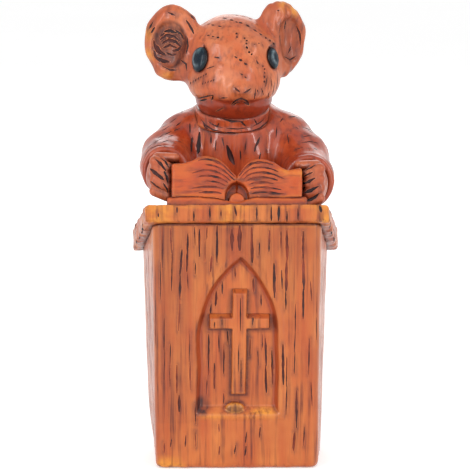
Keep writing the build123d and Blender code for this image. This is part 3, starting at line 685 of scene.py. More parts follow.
CARVING = carving_tree()
DARK_STAIN = gouge_stain("dark_gouge_stain", colour(44, 27, 29), colour(88, 44, 40))
BROWN_STAIN = gouge_stain("brown_gouge_stain", colour(62, 34, 34), colour(140, 64, 46))
WOOD = stained_resin("wood_stained_resin", colour(190, 92, 43), colour(208, 121, 58), colour(160, 64, 30),
                     stretch=(1, 1, 0.12), gloss=0.34, edge_amber=0.4, coat=0.4, coat_roughness=0.16,
                     grain_share=0.85)
FUR = stained_resin("fur_stained_resin", colour(206, 104, 56), colour(221, 132, 84), colour(150, 54, 27),
                    stretch=(1, 1, 0.7), gloss=0.36, edge_amber=0.12, coat=0.4, coat_roughness=0.2,
                    grain_share=0.65)
ROBE = stained_resin("robe_stained_resin", colour(162, 56, 24), colour(196, 88, 45), colour(130, 38, 17),
                     stretch=(1, 1, 0.35), gloss=0.26, edge_amber=0.3, coat=0.5, coat_roughness=0.1,
                     grain_share=0.8)
LEAF = stained_resin("book_stained_resin", colour(184, 72, 22), colour(199, 94, 32), colour(160, 54, 22),
                     stretch=(0.6, 1, 1), gloss=0.42, edge_amber=0.25, coat=0.25, coat_roughness=0.2,
                     grain_share=0.85)
ENAMEL = eye_enamel()


def place_piece(piece, node, finish, strokes=(), stain=DARK_STAIN):
    """Finishes a piece, carves it, and lets it stand for its CAD node."""
    piece.data.materials.append(finish)
    carve(piece, list(strokes), stain)
    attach(piece, "root")
    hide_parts(node)
    return piece


# Pulpit

def underside(y):
    return UNDERSIDE_Z - UNDERSIDE_FALL * (y - BOARD_FRONT_Y)


def niche_outline(x, z):
    """Distance to the pointed arch in the front plane, and how far a point lies below the sill."""
    rise = NICHE_APEX_Z - NICHE_SPRING_Z
    arc_r = (NICHE_HALF ** 2 + rise ** 2) / (2 * NICHE_HALF)
    across = np.abs(x)
    arch = np.hypot(across + arc_r - NICHE_HALF, np.maximum(z - NICHE_SPRING_Z, 0)) - arc_r
    return arch, NICHE_SILL_Z - z


BEAD_MIDDLE = np.array([-0.45, FRONT_Y + 1.15, NICHE_SILL_Z + 1.2])
BEAD_RADII = (2.15, 1.1, 1.3)


def niche_lean(z):
    """The arch was cut by hand: its point stands a little to the right."""
    return 0.15 + 0.6 * np.square(np.clip((z - 26) / 20, 0, 1))


def pulpit_field(p):
    x, y, z = p.T
    high = np.clip(z / PULPIT_TOP_Z, 0, 1)
    deep = (y - FRONT_Y) / (BACK_Y - FRONT_Y)
    front = PULPIT_HALF_FRONT[0] + (PULPIT_HALF_FRONT[1] - PULPIT_HALF_FRONT[0]) * high
    back = PULPIT_HALF_BACK[0] + (PULPIT_HALF_BACK[1] - PULPIT_HALF_BACK[0]) * high
    back = back - 0.9 * np.square(np.clip((13 - z) / 10, 0, 1)) * (x < 0)
    worked = 0.14 * ripple(p * (1, 1, 0.18), 7.0, 11) + 0.06 * ripple(p * (1, 1, 0.3), 2.6, 12)
    field = soft_max(np.abs(x) - front - (back - front) * deep, FRONT_Y - y, 2.2)
    field = soft_max(field, y - BACK_Y, 1.2)
    field = soft_max(field, -z, 1.6)
    field = soft_max(field + worked, z - underside(y), 0.4)
    arch, sill = niche_outline(x - niche_lean(z) + 0.1 * np.sin(z * 0.5), z)
    into = y - FRONT_Y
    niche = soft_max(arch + 0.6 * into, sill + 1.0 * into, 0.3) * 0.85
    niche = soft_max(niche, into - NICHE_DEPTH - 0.1 * ripple(p * (1, 1, 0.2), 3.0, 13), 0.3)
    lip = 0.22 * np.exp(-np.square((np.maximum(arch, sill) - 0.7) / 0.5)) * (into < 1.0)
    field = soft_max(field - lip, -niche, 0.16)
    return np.maximum(soft_min(field, egg(p, BEAD_MIDDLE, BEAD_RADII), 0.25), -z)


def pulpit_rich(p):
    """Painted shade on the niche's walls."""
    x, y, z = p.T
    arch, sill = niche_outline(x - niche_lean(z), z)
    into = y - FRONT_Y
    wall = np.clip((into - 0.15) / 0.25, 0, 1) * np.clip((arch + 1.5) / 0.3, 0, 1) * (arch < 0.4) * (sill < 0)
    return 0.85 * wall * (into < 2.5)


def pulpit_amber(p):
    x, y, z = p.T
    ring = np.abs(egg(p, BEAD_MIDDLE, BEAD_RADII) - 0.05)
    rim = (1.2 - ring / 0.35) * (egg(p, BEAD_MIDDLE, BEAD_RADII) < 0.6) * (y < FRONT_Y + 0.75)
    pool = egg(p, (6.0, FRONT_Y + 0.6, NICHE_SILL_Z + 0.4), (3.0, 1.2, 0.9))
    foot = egg(p, (-15.0, FRONT_Y, 1.0), (4.0, 2.5, 2.0))
    under = np.abs(z - NICHE_SILL_Z + 0.5) + 3 * np.clip(np.abs(x) - 8.0, 0, 1) + 2 * (y > FRONT_Y + 0.5)
    return np.maximum.reduce([0.8 * rim, 0.5 - pool, 0.25 - foot * 0.5, 0.5 - 0.5 * under])


def pulpit_deep(p):
    """Painted shade darkens the niche's lower left corner; the bead's glassy middle is dark, and the front
    grows darker towards the top and at its left side.
    """
    corner = egg(p, (-7.9, FRONT_Y + 1.2, NICHE_SILL_Z + 1.4), (1.5, 1.5, 1.7))
    bead = egg(p, BEAD_MIDDLE - np.array((0, 0.9, 0.2)), (1.5, 1.0, 0.7))
    front_darkening = (p[:, 1] < FRONT_Y + 1) * (0.2 * np.clip((p[:, 2] - 28) / 16, 0, 1)
                                        + 0.14 * np.clip((-8 - p[:, 0]) / 4, 0, 1) * (p[:, 2] > 10))
    return np.maximum.reduce([0.9 - corner * 0.8, 0.85 - bead * 1.3, front_darkening])


PULPIT_GOUGES = [
    (0.5, (162.8, 228), (162.8, 268)), (0.5, (170.6, 228), (170.6, 253)), (0.45, (172, 250), (172, 291)),
    (0.9, (182, 249), (180.5, 276), (180, 300)), (0.4, (180, 300), (179, 331)),
    (0.75, (187.4, 233), (187, 272)),
    (0.4, (188, 272), (188, 289)), (0.45, (194.6, 227), (194.6, 246)), (0.4, (195, 263), (195, 275)),
    (0.7, (199.6, 229), (200, 257)), (0.4, (206.5, 227), (206.5, 239)), (0.95, (217.7, 225), (217.4, 263)),
    (0.9, (211.7, 256), (211.2, 272)), (1.15, (231.7, 229), (231.7, 251)), (1.3, (239.5, 225), (239.7, 251)),
    (1.05, (251.5, 227), (252, 263)), (0.4, (259, 242), (259, 256)), (0.6, (269, 230), (269, 252)),
    (0.95, (274, 263), (274.5, 298)), (0.5, (281.5, 231), (281.5, 248)),
    (1.0, (286.6, 230), (287, 260), (286, 291)),
    (0.6, (282, 270), (281.6, 289)), (0.9, (303, 231), (303, 275), (303.4, 319)),
    (0.5, (295, 304), (295, 333)),
    (0.45, (311, 281), (311, 301)), (0.5, (285.6, 291), (285.4, 310)), (0.4, (164.6, 318), (164.6, 382)),
    (0.4, (170.3, 344), (170.3, 387)), (0.6, (177, 365), (177, 393)), (0.75, (179, 395), (179, 412)),
    (0.4, (190, 333), (189.6, 390)), (0.5, (195, 404), (196, 424)), (0.4, (195.5, 431), (195.6, 447)),
    (0.85, (283.6, 344), (283, 385)), (0.5, (287, 357), (286.6, 415)), (0.45, (295, 330), (294.6, 374)),
    (0.5, (309.5, 338), (309.2, 375)), (0.4, (311.6, 382), (311.6, 406)), (0.85, (296.8, 390), (297, 428)),
    (0.7, (294, 432), (293.8, 451)), (0.5, (219.4, 424), (219.4, 432)), (0.55, (219.6, 446), (219.4, 455)),
    (0.5, (235.2, 445), (234.6, 454)), (0.6, (246.2, 432), (246, 443)), (0.6, (245.6, 446), (245.4, 456)),
    (0.55, (259.7, 427), (259.7, 438)), (0.5, (185.7, 435), (185.7, 447)), (0.5, (171, 439), (171, 447)),
    (0.5, (164.8, 443), (164.8, 453)), (0.5, (304, 427), (304, 446)), (0.4, (155.5, 300), (156, 345)),
    (0.4, (316.5, 296), (316.2, 340)), (0.35, (160, 262), (160.2, 300)), (0.35, (205, 240), (205, 262)),
]
NICHE_GOUGES = [
    (0.8, (208.5, 334), (208, 375)), (0.6, (206.5, 379), (207, 395)), (0.75, (215, 363), (214.6, 389)),
    (0.5, (224, 344), (224, 374)), (0.5, (223.5, 393), (223.5, 404)), (0.6, (250, 338), (250.3, 357)),
    (0.8, (266, 338), (266.4, 393)), (0.7, (272.5, 350), (272.3, 385)), (0.6, (222, 281), (222.4, 294)),
    (0.7, (216.7, 291), (216, 306)), (0.6, (211, 304), (210.4, 316)), (0.5, (253.6, 278), (253.8, 292)),
    (0.5, (261, 294), (261, 306)), (0.6, (235, 267), (235.2, 278)), (0.5, (258.5, 350), (258.4, 366)),
    (0.45, (228, 330), (228, 345)), (0.5, (219, 335), (219, 352)), (0.45, (262, 334), (262, 348)),
]


def pulled(lines):
    """Long cuts made in several pulls of the tool, each a little beside the last and of its own width."""
    rng = np.random.default_rng(22)
    cuts = []
    for width, *corners in lines:
        pulls = max(1, round(math.dist(corners[0], corners[-1]) / 28))
        for _, start, end in dash_row(corners, pulls, 1.04):
            cut = width * rng.uniform(0.7, 0.95)
            cuts.append((cut, (start[0] + rng.uniform(-0.7, 0.7), start[1]),
                         (end[0] + rng.uniform(-0.7, 0.7), end[1])))
    return cuts


def column_of_strokes(surface, x, y, top_z, rng):
    """Grain cuts one above the other up a side of the pulpit."""
    strokes = []
    z = 3 + rng.uniform(0, 6)
    while z < top_z - 3:
        run = min(rng.uniform(4, 13), top_z - z)
        lean = rng.uniform(-0.3, 0.3)
        points = [surface.nearest((x, y + lean * t, z + run * t)) for t in np.linspace(0, 1, 6)]
        strokes.append(boat(points, rng.uniform(0.35, 0.7)))
        z += run + rng.uniform(2, 7)
    return strokes


def make_pulpit():
    piece = sculpt("pulpit", pulpit_field, (-22.5, FRONT_Y - 1.5, -1), (22.5, BACK_Y + 1.5, 58), 0.36,
                   [cross_field, board_field],
                   {"amber": pulpit_amber, "rich": pulpit_rich, "deep": pulpit_deep})
    surface = Surface(piece)
    strokes = photo_strokes(surface, pulled(PULPIT_GOUGES + NICHE_GOUGES), 0.5, 7, 0.45)
    rng = np.random.default_rng(21)
    for side in SIDES.values():
        for y in np.arange(FRONT_Y + 2.6, BACK_Y - 2.5, 1.9):
            strokes += column_of_strokes(surface, side * 20.5, y, underside(y) - 4, rng)
    place_piece(piece, "pulpit_body", WOOD, strokes, BROWN_STAIN)


def cross_field(p):
    x, y, z = p.T
    stand = FRONT_Y + NICHE_DEPTH - y
    foot_z, head_z, arm_z = NICHE_SILL_Z + 4.05, NICHE_APEX_Z - 7.2, NICHE_APEX_Z - 14.3
    wave = 0.08 * ripple(p, 4.0, 31)
    shelf = 0.75 * stand
    across = np.abs(x - CROSS_X - 0.35 * (z - arm_z) / (head_z - foot_z)) + 0.15 * stand
    upright = soft_max(across - CROSS_BAR / 2 + wave,
                       np.maximum(z - head_z + shelf, foot_z - z + 0.2 * stand), 0.3)
    beam = np.maximum(z - arm_z - CROSS_BAR / 2 + shelf, arm_z - CROSS_BAR / 2 - z + 0.15 * stand)
    arms = soft_max(np.abs(x - CROSS_X) + 0.2 * stand - 6.6, beam + wave, 0.3)
    bars = soft_min(upright, arms, 0.3)
    return soft_max(np.maximum(bars, -stand - 0.3), stand - CROSS_RELIEF + wave, 0.3)


def cross_rich(p):
    """Painted shade on the bars' upward-facing bevels."""
    out = slope(cross_field, p)
    return 1.2 * np.clip(out[:, 2] / np.maximum(length(out), 1e-6) - 0.3, 0, 1)


def make_cross():
    piece = sculpt("cross", cross_field, (-7.5, FRONT_Y - 0.8, 15), (8.5, FRONT_Y + 3, 41.5), 0.2,
                   [pulpit_field], {"rich": cross_rich})
    surface = Surface(piece)
    marks = [(0.4, (240.6, 298), (240.4, 331)), (0.4, (214.5, 322), (214.5, 328)),
             (0.5, (253, 317), (252.6, 326)),
             (0.35, (238.6, 345), (238.4, 372)), (0.4, (222, 318), (222, 326)),
             (0.35, (241, 360), (241, 390))]
    place_piece(piece, "niche_cross", WOOD, photo_strokes(surface, marks, 0.4))


# Board

def board_field(p):
    x, y, z = p.T
    deep = (y - BOARD_FRONT_Y) / (BOARD_BACK_Y - BOARD_FRONT_Y)
    half = BOARD_HALF_FRONT + (BOARD_HALF_BACK - BOARD_HALF_FRONT) * deep
    top = (z - BOARD_TOP_Z) * math.cos(BOARD_SLOPE) + (y - BOARD_FRONT_Y) * math.sin(BOARD_SLOPE)
    field = soft_max(np.abs(x) - half, top, 1.1)
    field = soft_max(field, BOARD_FRONT_Y - y, 0.45)
    field = soft_max(field, y - BOARD_BACK_Y, 1.0)
    field = soft_max(field, (underside(y) - z) * 0.92, 0.7)
    chopped = np.clip((np.abs(x) - half + 1.5) / 1.5, 0, 1)
    return field + (0.09 + 0.2 * chopped) * ripple(p, 3.2, 41) + 0.05 * ripple(p, 1.4, 42)


def board_amber(p):
    """Varnish gathered on the board's front: at the left, in the middle and at the right end."""
    x = p[:, 0]
    spots = np.minimum.reduce([np.abs(x + 17) / 2.6, np.abs(x + 1.3) / 2.4, np.abs(x - 18.5) / 1.6])
    return (1.1 - 0.6 * spots + 0.3 * ripple(p, 3.0, 43)) * (p[:, 1] < BOARD_FRONT_Y + 1.0)


BOARD_TICKS = [
    (0.6, (158.3, 213), (158.6, 217)), (0.6, (177, 207), (177, 213)), (0.5, (193.8, 211), (193.8, 221)),
    (0.5, (209.9, 206), (209.9, 219)), (0.6, (234.5, 206), (236.5, 216)), (0.5, (256.7, 207), (256.8, 221)),
    (0.55, (271.3, 207), (271.4, 221)), (0.8, (278.8, 206), (278.6, 221)), (0.5, (287, 211), (287, 222)),
    (0.55, (298, 208), (298, 221)), (0.8, (319.4, 205.5), (321.4, 212.5)), (0.35, (221, 209), (221, 218)),
]


def make_board():
    piece = sculpt("board", board_field, (-24, BOARD_FRONT_Y - 1.5, 42), (24, BOARD_BACK_Y + 1.5, 60), 0.3,
                   [cover_field, pulpit_field],
                   {"amber": board_amber})
    surface = Surface(piece)
    strokes = photo_strokes(surface, BOARD_TICKS, 0.5)
    rng = np.random.default_rng(44)
    for side in SIDES.values():
        starts = [(side * 22, rng.uniform(BOARD_FRONT_Y + 2, BOARD_BACK_Y - 2),
                   rng.uniform(47, 57)) for _ in range(26)]
        strokes += loose_strokes(surface, starts, (0, -0.6, 0.8), (1.2, 3.6), 0.5, rng)
    backs = [(rng.uniform(-20, 20), BOARD_BACK_Y, rng.uniform(45, 49)) for _ in range(14)]
    strokes += loose_strokes(surface, backs, (0, 0, 1), (1.5, 3.2), 0.5, rng)
    place_piece(piece, "desk_board", WOOD, strokes)


# Book, in its own directions on the board: across, down the slope and off the board

def on_board(p):
    c, s = math.cos(BOARD_SLOPE), math.sin(BOARD_SLOPE)
    y, z = p[:, 1] - BOARD_FRONT_Y, p[:, 2] - BOARD_TOP_Z
    return p[:, 0], c * y - s * z, s * y + c * z


def cover_top(u):
    return COVER_THICKNESS - 1.1 * np.exp(-np.square(u / 3.0)) + 0.15 * np.sin(u * 0.45)


def cover_field(p):
    u, v, w = on_board(p)
    field = soft_max(np.abs(u) - COVER_HALF, np.abs(v - BOOK_SETBACK - BOOK_DEPTH / 2) - BOOK_DEPTH / 2, 0.7)
    field = soft_max(field, w - cover_top(u), 0.6)
    return np.maximum(field, -w - 0.2) + 0.06 * ripple(p, 3.0, 51)


PAGE_TOPS = {
    "left": ([0, 3.45, 6.7, 11.3, 14.2], [6.3, 9.9, 11.0, 9.4, 9.3]),
    "right": ([0, 2.1, 5.2, 8.0, 10.4, 14.2], [6.3, 9.2, 10.2, 9.5, 8.0, 8.4]),
}


def page_top(name, out):
    return through(out, *PAGE_TOPS[name])


def pages_field(name):
    def field(p):
        u, v, w = on_board(p)
        out = SIDES[name] * u
        top = (w - page_top(name, np.clip(out, 0, 14.2))) * 0.75
        block = soft_max(top, out - PAGE_HALF, 0.6)
        block = soft_max(block, np.abs(v - BOOK_SETBACK - BOOK_DEPTH / 2) - BOOK_DEPTH / 2 - 0.1, 0.5)
        block = soft_max(block, -out - 0.05, 0.3)
        arch = np.hypot(u, (w - 1.6) * 0.72) - SPINE_HOLLOW_R
        arch = soft_max(arch, BOOK_DEPTH / 2 - 2.6 - np.abs(v - BOOK_SETBACK - BOOK_DEPTH / 2), 0.4)
        bed = np.hypot(u, w - 1.2) - LINING_R - 0.12
        block = soft_max(soft_max(block, -arch, 0.4), -bed, 0.1)
        return np.maximum(block, cover_top(u) - w - 0.15) + 0.07 * ripple(p, 2.8, 52)
    return field


def lining_field(p):
    u, v, w = on_board(p)
    bar = np.hypot(u, w - 1.2) - LINING_R
    return soft_max(bar, np.abs(v - BOOK_SETBACK - BOOK_DEPTH / 2) - BOOK_DEPTH / 2 + 0.6, 0.3)


def page_amber(p):
    """A little varnish on the crowns of the pages."""
    spots = [np.hypot((p[:, 0] - x) / 2.2, p[:, 2] - z) for x,
             z in ((-5.4, 67.4), (10.2, 64.6), (13.2, 64.4))]
    return 0.8 - 0.7 * np.minimum.reduce(spots)


def leaf_strokes(name, surface):
    """The leaves' edges: curved cuts that fan out from the spine across the head of the pages."""
    strokes = []
    leaves = 7
    c, s = math.cos(BOARD_SLOPE), math.sin(BOARD_SLOPE)
    for leaf in range(leaves):
        share = (leaf + 0.75) / leaves
        reach = 8.2 + 1.6 * math.sin(2.1 * leaf) if name == "left" else 9.0 + 1.2 * math.sin(1.7 * leaf + 1)
        points = []
        for out in np.linspace(0.5, reach, 12):
            foot = cover_top(np.array([out]))[0]
            w = foot + share * 0.94 * (page_top(name, np.array([out]))[0] - foot)
            if math.hypot(out, (w - 1.6) * 0.72) < SPINE_HOLLOW_R + 0.25:
                continue
            v = BOOK_SETBACK - 0.1
            place = (SIDES[name] * out, BOARD_FRONT_Y + c * v + s * w, BOARD_TOP_Z - s * v + c * w)
            hit, _ = surface.nearest(place)
            points.append((hit, Vector((0, -c, s))))
        if len(points) > 3:
            strokes.append(boat(points, 0.68 - 0.08 * (leaf % 3), 0.5, 0.9))
    return strokes


def make_book():
    low, high = (-16.5, BOARD_FRONT_Y - 0.5, 49), (16.5, -1, 71)
    cover = sculpt("cover", cover_field, low, high, 0.26,
                   [board_field] + [pages_field(name) for name in SIDES])
    place_piece(cover, "book_cover", LEAF)
    lining = sculpt("spine_lining", lining_field, (-2.2, BOARD_FRONT_Y - 0.5, 50), (2.2, -2, 63), 0.2,
                    [pages_field("left"), pages_field("right")])
    place_piece(lining, "book_spine_lining", LEAF)
    for name in SIDES:
        pages = sculpt(f"pages_{name}", pages_field(name), low, high, 0.26, [cover_field, paw_field(name)],
                       {"amber": page_amber})
        place_piece(pages, f"book_pages_{name}", LEAF, leaf_strokes(name, Surface(pages)),
                    BROWN_STAIN)


# Robe

ROBE_HEIGHTS = [0, 13.6, 30, 45.4, 58, 66.3, 73.8]
ROBE_HALF_WIDTHS = [16.0, 14.7, 13.4, 12.4, 11.4, 10.4, 8.0]
ROBE_HALF_DEPTHS = [12.0, 10.8, 9.9, 9.4, 9.1, 8.7, 8.0]
ROBE_MIDDLE_YS = [8.6, 8.0, 7.7, 7.4, 6.6, 6.0, 5.5]
CHEST_FOLDS = [(-7.2, 1.3), (-4.6, 0.9), (-1.2, 1.1), (1.6, 0.7), (4.4, 1.0), (7.0, 1.2)]


PLEAT_ANGLES = [math.radians(15 + 30 * i) for i in range(6)]


def skirt_point(angle, height, off):
    """A point off the skirt, at an angle round it."""
    share = height / SKIRT_TOP_Z
    half_width = HEM_HALF[0] - SKIRT_TAPER[0] * share + off
    half_depth = HEM_HALF[1] - SKIRT_TAPER[1] * share + off
    return (half_width * math.cos(angle), HEM_MIDDLE_Y - 1.2 * share + half_depth * math.sin(angle), height)


def robe_field(p):
    x, y, z = p.T
    half_width = through(z, ROBE_HEIGHTS, ROBE_HALF_WIDTHS)
    half_depth = through(z, ROBE_HEIGHTS, ROBE_HALF_DEPTHS)
    off = y - through(z, ROBE_HEIGHTS, ROBE_MIDDLE_YS)
    field = (np.hypot(x / half_width, off / half_depth) - 1) * np.sqrt(half_width * half_depth)
    for angle in PLEAT_ANGLES:
        furrow = limb(p, skirt_point(angle, 8.0, 1.7), skirt_point(angle, 43.0, 1.3), 2.6, 1.6)
        field = soft_max(field, -furrow, 0.7)
    lean = (z - COLLAR_MIDDLE[2]) * math.cos(COLLAR_LEAN) - (y - COLLAR_MIDDLE[1]) * math.sin(COLLAR_LEAN)
    field = soft_max(field, lean, 0.8)
    for across, width in CHEST_FOLDS:
        crease = limb(p, (across * 0.8, -3.4, 71.5), (across, -3.2, 57.0), width * 0.7, width)
        field = soft_max(field, -crease, 1.0)
    desk = np.maximum(y - BACK_Y - 0.02, np.maximum(z - 47.0, -z))
    field = np.maximum(soft_max(field, -z, 0.6), -desk) + 0.1 * ripple(p * (1, 1, 0.4), 4.2, 61)
    return np.maximum(field, -z)


ROBE_CREASES = [
    (1.4, (227, 145), (230.5, 156), (234.5, 165)), (0.8, (260, 137), (256, 146), (254.5, 152)),
    (1.3, (199.5, 132), (198.6, 146), (198, 154)), (1.1, (192.5, 128), (191.5, 142), (191.5, 152)),
    (0.7, (204, 134), (203, 146)), (0.6, (222, 137), (224, 146)), (0.6, (211, 134), (211, 144)),
    (0.5, (261, 152), (259, 160)), (0.5, (205, 128), (210, 131)), (0.4, (240, 150), (241, 160)),
    (0.5, (216, 140), (215, 152)), (0.4, (246, 140), (245, 152)), (0.4, (268, 140), (267, 150)),
]


def make_robe():
    low, high = (-18, -5.5, -0.8), (18, 23, 76)
    near = [collar_field, board_field, sleeve_core("left"), sleeve_core("right")]
    piece = sculpt("robe_body", robe_field, low, high, 0.42, near)
    surface = Surface(piece)
    rng = np.random.default_rng(62)
    starts = []
    for _ in range(90):
        angle = rng.uniform(0.05, math.pi - 0.05)
        starts.append((15 * math.cos(angle), 8 + 12 * math.sin(angle), rng.uniform(4, 68)))
    strokes = photo_strokes(surface, ROBE_CREASES, 0.5)
    strokes += loose_strokes(surface, starts, (0, 0, 1), (2.5, 9), 0.5, rng, 7)
    place_piece(piece, "robe", ROBE, strokes)


def in_collar(p):
    """Distance from the collar's axis and height along it."""
    q = p - COLLAR_MIDDLE
    c, s = math.cos(COLLAR_LEAN), math.sin(COLLAR_LEAN)
    return np.hypot(q[:, 0], c * q[:, 1] + s * q[:, 2]), c * q[:, 2] - s * q[:, 1]


def neck_band(p):
    """The room the collar takes up between the shoulders."""
    out, z = in_collar(p)
    return np.maximum(out - 7.9, -z - 0.2)


def collar_field(p):
    out, z = in_collar(p)
    flare = 7.35 + 0.16 * np.square(np.clip(1.6 - z, 0, 2))
    band = np.stack([np.abs(out - flare) - 0.35, np.abs(z - 1.5) - 1.15], axis=1)
    field = length(np.maximum(band, 0)) + np.minimum(band.max(axis=1), 0) - 0.55
    return field + 0.1 * ripple(p, 4.0, 71)


COLLAR_LINES = [
    (0.5, (201, 119.5), (206, 125.5), (213, 129.8), (224, 132.4)),
    (0.45, (224, 132.4), (237, 133), (250, 132)),
    (0.5, (250, 131.6), (260, 128), (267, 122), (270, 117)), (0.5, (203, 122), (205, 127), (211, 131.5)),
    (0.6, (240, 121), (246, 126.5)), (0.45, (254, 119), (257, 124)), (0.45, (219, 123), (217, 128)),
    # The first mark on the next line is a painted shadow: a dark stained cut where the jaw's shadow falls on
    # the collar.
    (0.7, (222, 118.6), (232, 121.4), (243, 121.2)), (0.4, (208, 121), (214, 125.4), (223, 128)),
    (0.4, (226, 128.6), (238, 129), (249, 127.6)), (0.4, (252, 126.8), (260, 122.6), (265, 117.6)),
]


def make_collar():
    low, high = COLLAR_MIDDLE - (9.5, 9.5, 3.5), COLLAR_MIDDLE + (9.5, 9.5, 6)
    piece = sculpt("collar_band", collar_field, low, high, 0.24, [head_field, robe_field])
    place_piece(piece, "collar", ROBE, photo_strokes(Surface(piece), COLLAR_LINES, 0.45, 7))


# Sleeves and paws

def sleeve_points(name):
    side = SIDES[name]
    x, y, z = CUFF_MIDDLE[name]
    elbow_z = BOARD_TOP_Z + (7.4 if name == "left" else 6.9)
    return [(side * 5.8, 7.8, BOARD_TOP_Z + 13.9), (side * 10.9, 7.0, BOARD_TOP_Z + 10.8),
            (side * 14.5, 3.2, elbow_z), (x - side * 0.2, -2.5, z + 0.7), (x, y + 0.6, z)]


def sleeve_core(name):
    """The arm without its cuff's hollow."""
    r = CUFF_R[name]

    def field(p):
        return chain(p, sleeve_points(name), [5.5, 5.7, 5.8, 0.5 * (5.6 + r), r - 0.2], 2.2)
    return field


def sleeve_field(name):
    x, y, z = CUFF_MIDDLE[name]
    r = CUFF_R[name]

    def field(p):
        arm = sleeve_core(name)(p)
        ring = np.hypot(p[:, 0] - x, (p[:, 2] - z) * 0.95)
        hem = np.hypot(ring - r + 0.55, p[:, 1] - y - 0.1) - 0.85
        under_hem = np.hypot(ring - r + 0.35, p[:, 1] - y - 2.1) - 0.75
        arm = soft_min(soft_max(arm, y - 0.4 - p[:, 1], 0.6), hem, 0.5)
        arm = soft_min(arm, under_hem, 0.35)
        bell = limb(p, (x, y - 4, z - 0.2), (x, y + 3.4, z), r - 1.0, r - 1.9)
        arm = soft_max(arm, -bell, 0.4)
        inner = np.hypot(ring - r + 1.5, p[:, 1] - y - 1.5) - 0.55
        arm = soft_min(arm, inner, 0.3)
        folds = 0.16 * ripple(p, 5.0, 81) + 0.08 * ripple(p, 2.2, 82)
        return np.maximum(graft(arm + folds, robe_field(p), 2.4), -neck_band(p))
    return field


SLEEVE_MARKS = {
    "left": [(0.4, (170, 123), (176, 118)), (0.4, (162, 131), (169, 126)), (0.45, (164, 135), (172, 131)),
             (0.4, (157, 139), (164, 134)), (0.4, (176, 126), (181, 122)), (0.4, (160, 143), (169, 140)),
             (0.4, (153, 145), (158, 141)), (0.45, (147, 148), (155, 142), (163, 138)),
             (0.4, (174, 131), (180, 128)),
             (0.5, (144, 156), (150, 148.5), (158, 145.5), (168, 147)), (0.4, (168, 137), (174, 135)),
             (0.5, (190, 123), (190, 134)), (0.5, (180, 113), (186, 109.5)),
             (1.2, (199.5, 132), (198.6, 146), (198, 154)), (1.0, (192.5, 137), (191.5, 144), (191.5, 152))],
    "right": [(0.5, (288, 117), (295, 116.5), (301, 118.5)), (0.4, (295, 127), (299, 129)),
              (0.4, (300, 143), (310, 141.5), (318, 143)), (0.35, (303, 137), (312, 135)),
              (0.4, (296, 149), (303, 147.5)), (0.4, (280, 122), (283, 118)), (0.4, (314, 148), (317, 150)),
              (0.4, (277, 126), (276, 138)), (0.4, (308, 130), (313, 133)), (0.35, (287, 134), (289, 144))],
}


def make_sleeve(name):
    side = SIDES[name]
    low = np.minimum((-side * 4, -9.5, 52), (side * 23, 18, 84))
    high = np.maximum((-side * 4, -9.5, 52), (side * 23, 18, 84))
    near = [paw_field(name), pages_field(name), collar_field]
    piece = sculpt(f"sleeve_{name}_arm", sleeve_field(name), low, high, 0.28, near)
    surface = Surface(piece)
    rng = np.random.default_rng(83)
    starts = [(side * rng.uniform(12, 21), rng.uniform(4, 12), rng.uniform(60, 73)) for _ in range(16)]
    strokes = photo_strokes(surface, SLEEVE_MARKS[name], 0.4)
    strokes += loose_strokes(surface, starts, (side * 0.5, 0.3, -0.8), (1.2, 3.5), 0.42, rng)
    place_piece(piece, f"sleeve_{name}", ROBE, strokes)


def paw_field(name):
    side = SIDES[name]
    middle = np.array(PAW_MIDDLE[name])
    cuff = np.array(CUFF_MIDDLE[name])

    def field(p):
        paw = egg(p, middle + (side * 0.1, 0.4, 0.1), (2.9, 3.6, 4.8))
        paw = soft_min(paw, limb(p, middle + (0, 1, 0), cuff + (0, 3, 0), 2.7, 2.4), 1.2)
        for finger in range(4):
            rise = (finger - 1.5) * 2.15
            knuckle = middle + (side * 1.25, -2.3 + 0.12 * abs(rise), rise + 0.35)
            tip = middle + (-side * 1.5, -3.0 + 0.1 * abs(rise), rise - 0.75)
            paw = soft_min(paw, limb(p, knuckle, tip, 1.2, 1.08), 0.6)
        thumb = limb(p, middle + (side * 0.6, 0.4, 4.0), middle + (-side * 3.2, -1.4, 4.3), 1.25, 0.95)
        paw = soft_min(paw, thumb, 0.4)
        return paw + 0.07 * ripple(p, 2.4, 91)
    return field


PAW_GROOVES = {
    "left": [(1.1, (150, 168.5), (157, 174.5), (164, 180)), (0.9, (155.5, 159), (160, 163), (166, 171)),
             (0.6, (150.5, 181), (156, 186), (163, 190)), (0.7, (159, 157), (165, 161), (169, 168)),
             (0.8, (164, 171), (167, 177), (168, 185)), (0.6, (163, 183), (167, 189), (168, 194))],
    "right": [(1.0, (302, 184), (309, 181.5), (315.5, 178)), (1.0, (303, 193.5), (311, 190.5), (319, 186)),
              (0.9, (306, 201.5), (313, 198.5), (319.5, 193)), (0.8, (304, 171), (310, 168), (316, 164.5)),
              (0.6, (302, 177), (307, 175), (313, 172)), (0.6, (303, 189), (306, 186.5))],
}


def make_paw(name):
    middle = np.array(PAW_MIDDLE[name])
    near = [pages_field(name), sleeve_field(name), board_field, cover_field]
    piece = sculpt(f"paw_{name}_fist", paw_field(name), middle - (6, 5.6, 6.5), middle + (6, 11, 7), 0.2,
                   near,
                   {"rich": even(0.4)})
    strokes = photo_strokes(Surface(piece), PAW_GROOVES[name], 0.5)
    place_piece(piece, f"paw_{name}", FUR, strokes)


# Head

def to_head(p):
    return turn_z(p - HEAD_MIDDLE, HEAD_TURN)


def from_head(point):
    c, s = math.cos(HEAD_TURN), math.sin(HEAD_TURN)
    x, y, z = point
    return HEAD_MIDDLE + np.array([c * x - s * y, s * x + c * y, z])


MUZZLE_MIDDLE = np.array([0.0, -4.0, -3.1])
MUZZLE_DROP = math.radians(20.0)


def tilted(p, angle):
    """Points seen along a nose that points down by an angle."""
    c, s = math.cos(angle), math.sin(angle)
    return np.stack([p[:, 0], c * p[:, 1] + s * p[:, 2], c * p[:, 2] - s * p[:, 1]], axis=1)


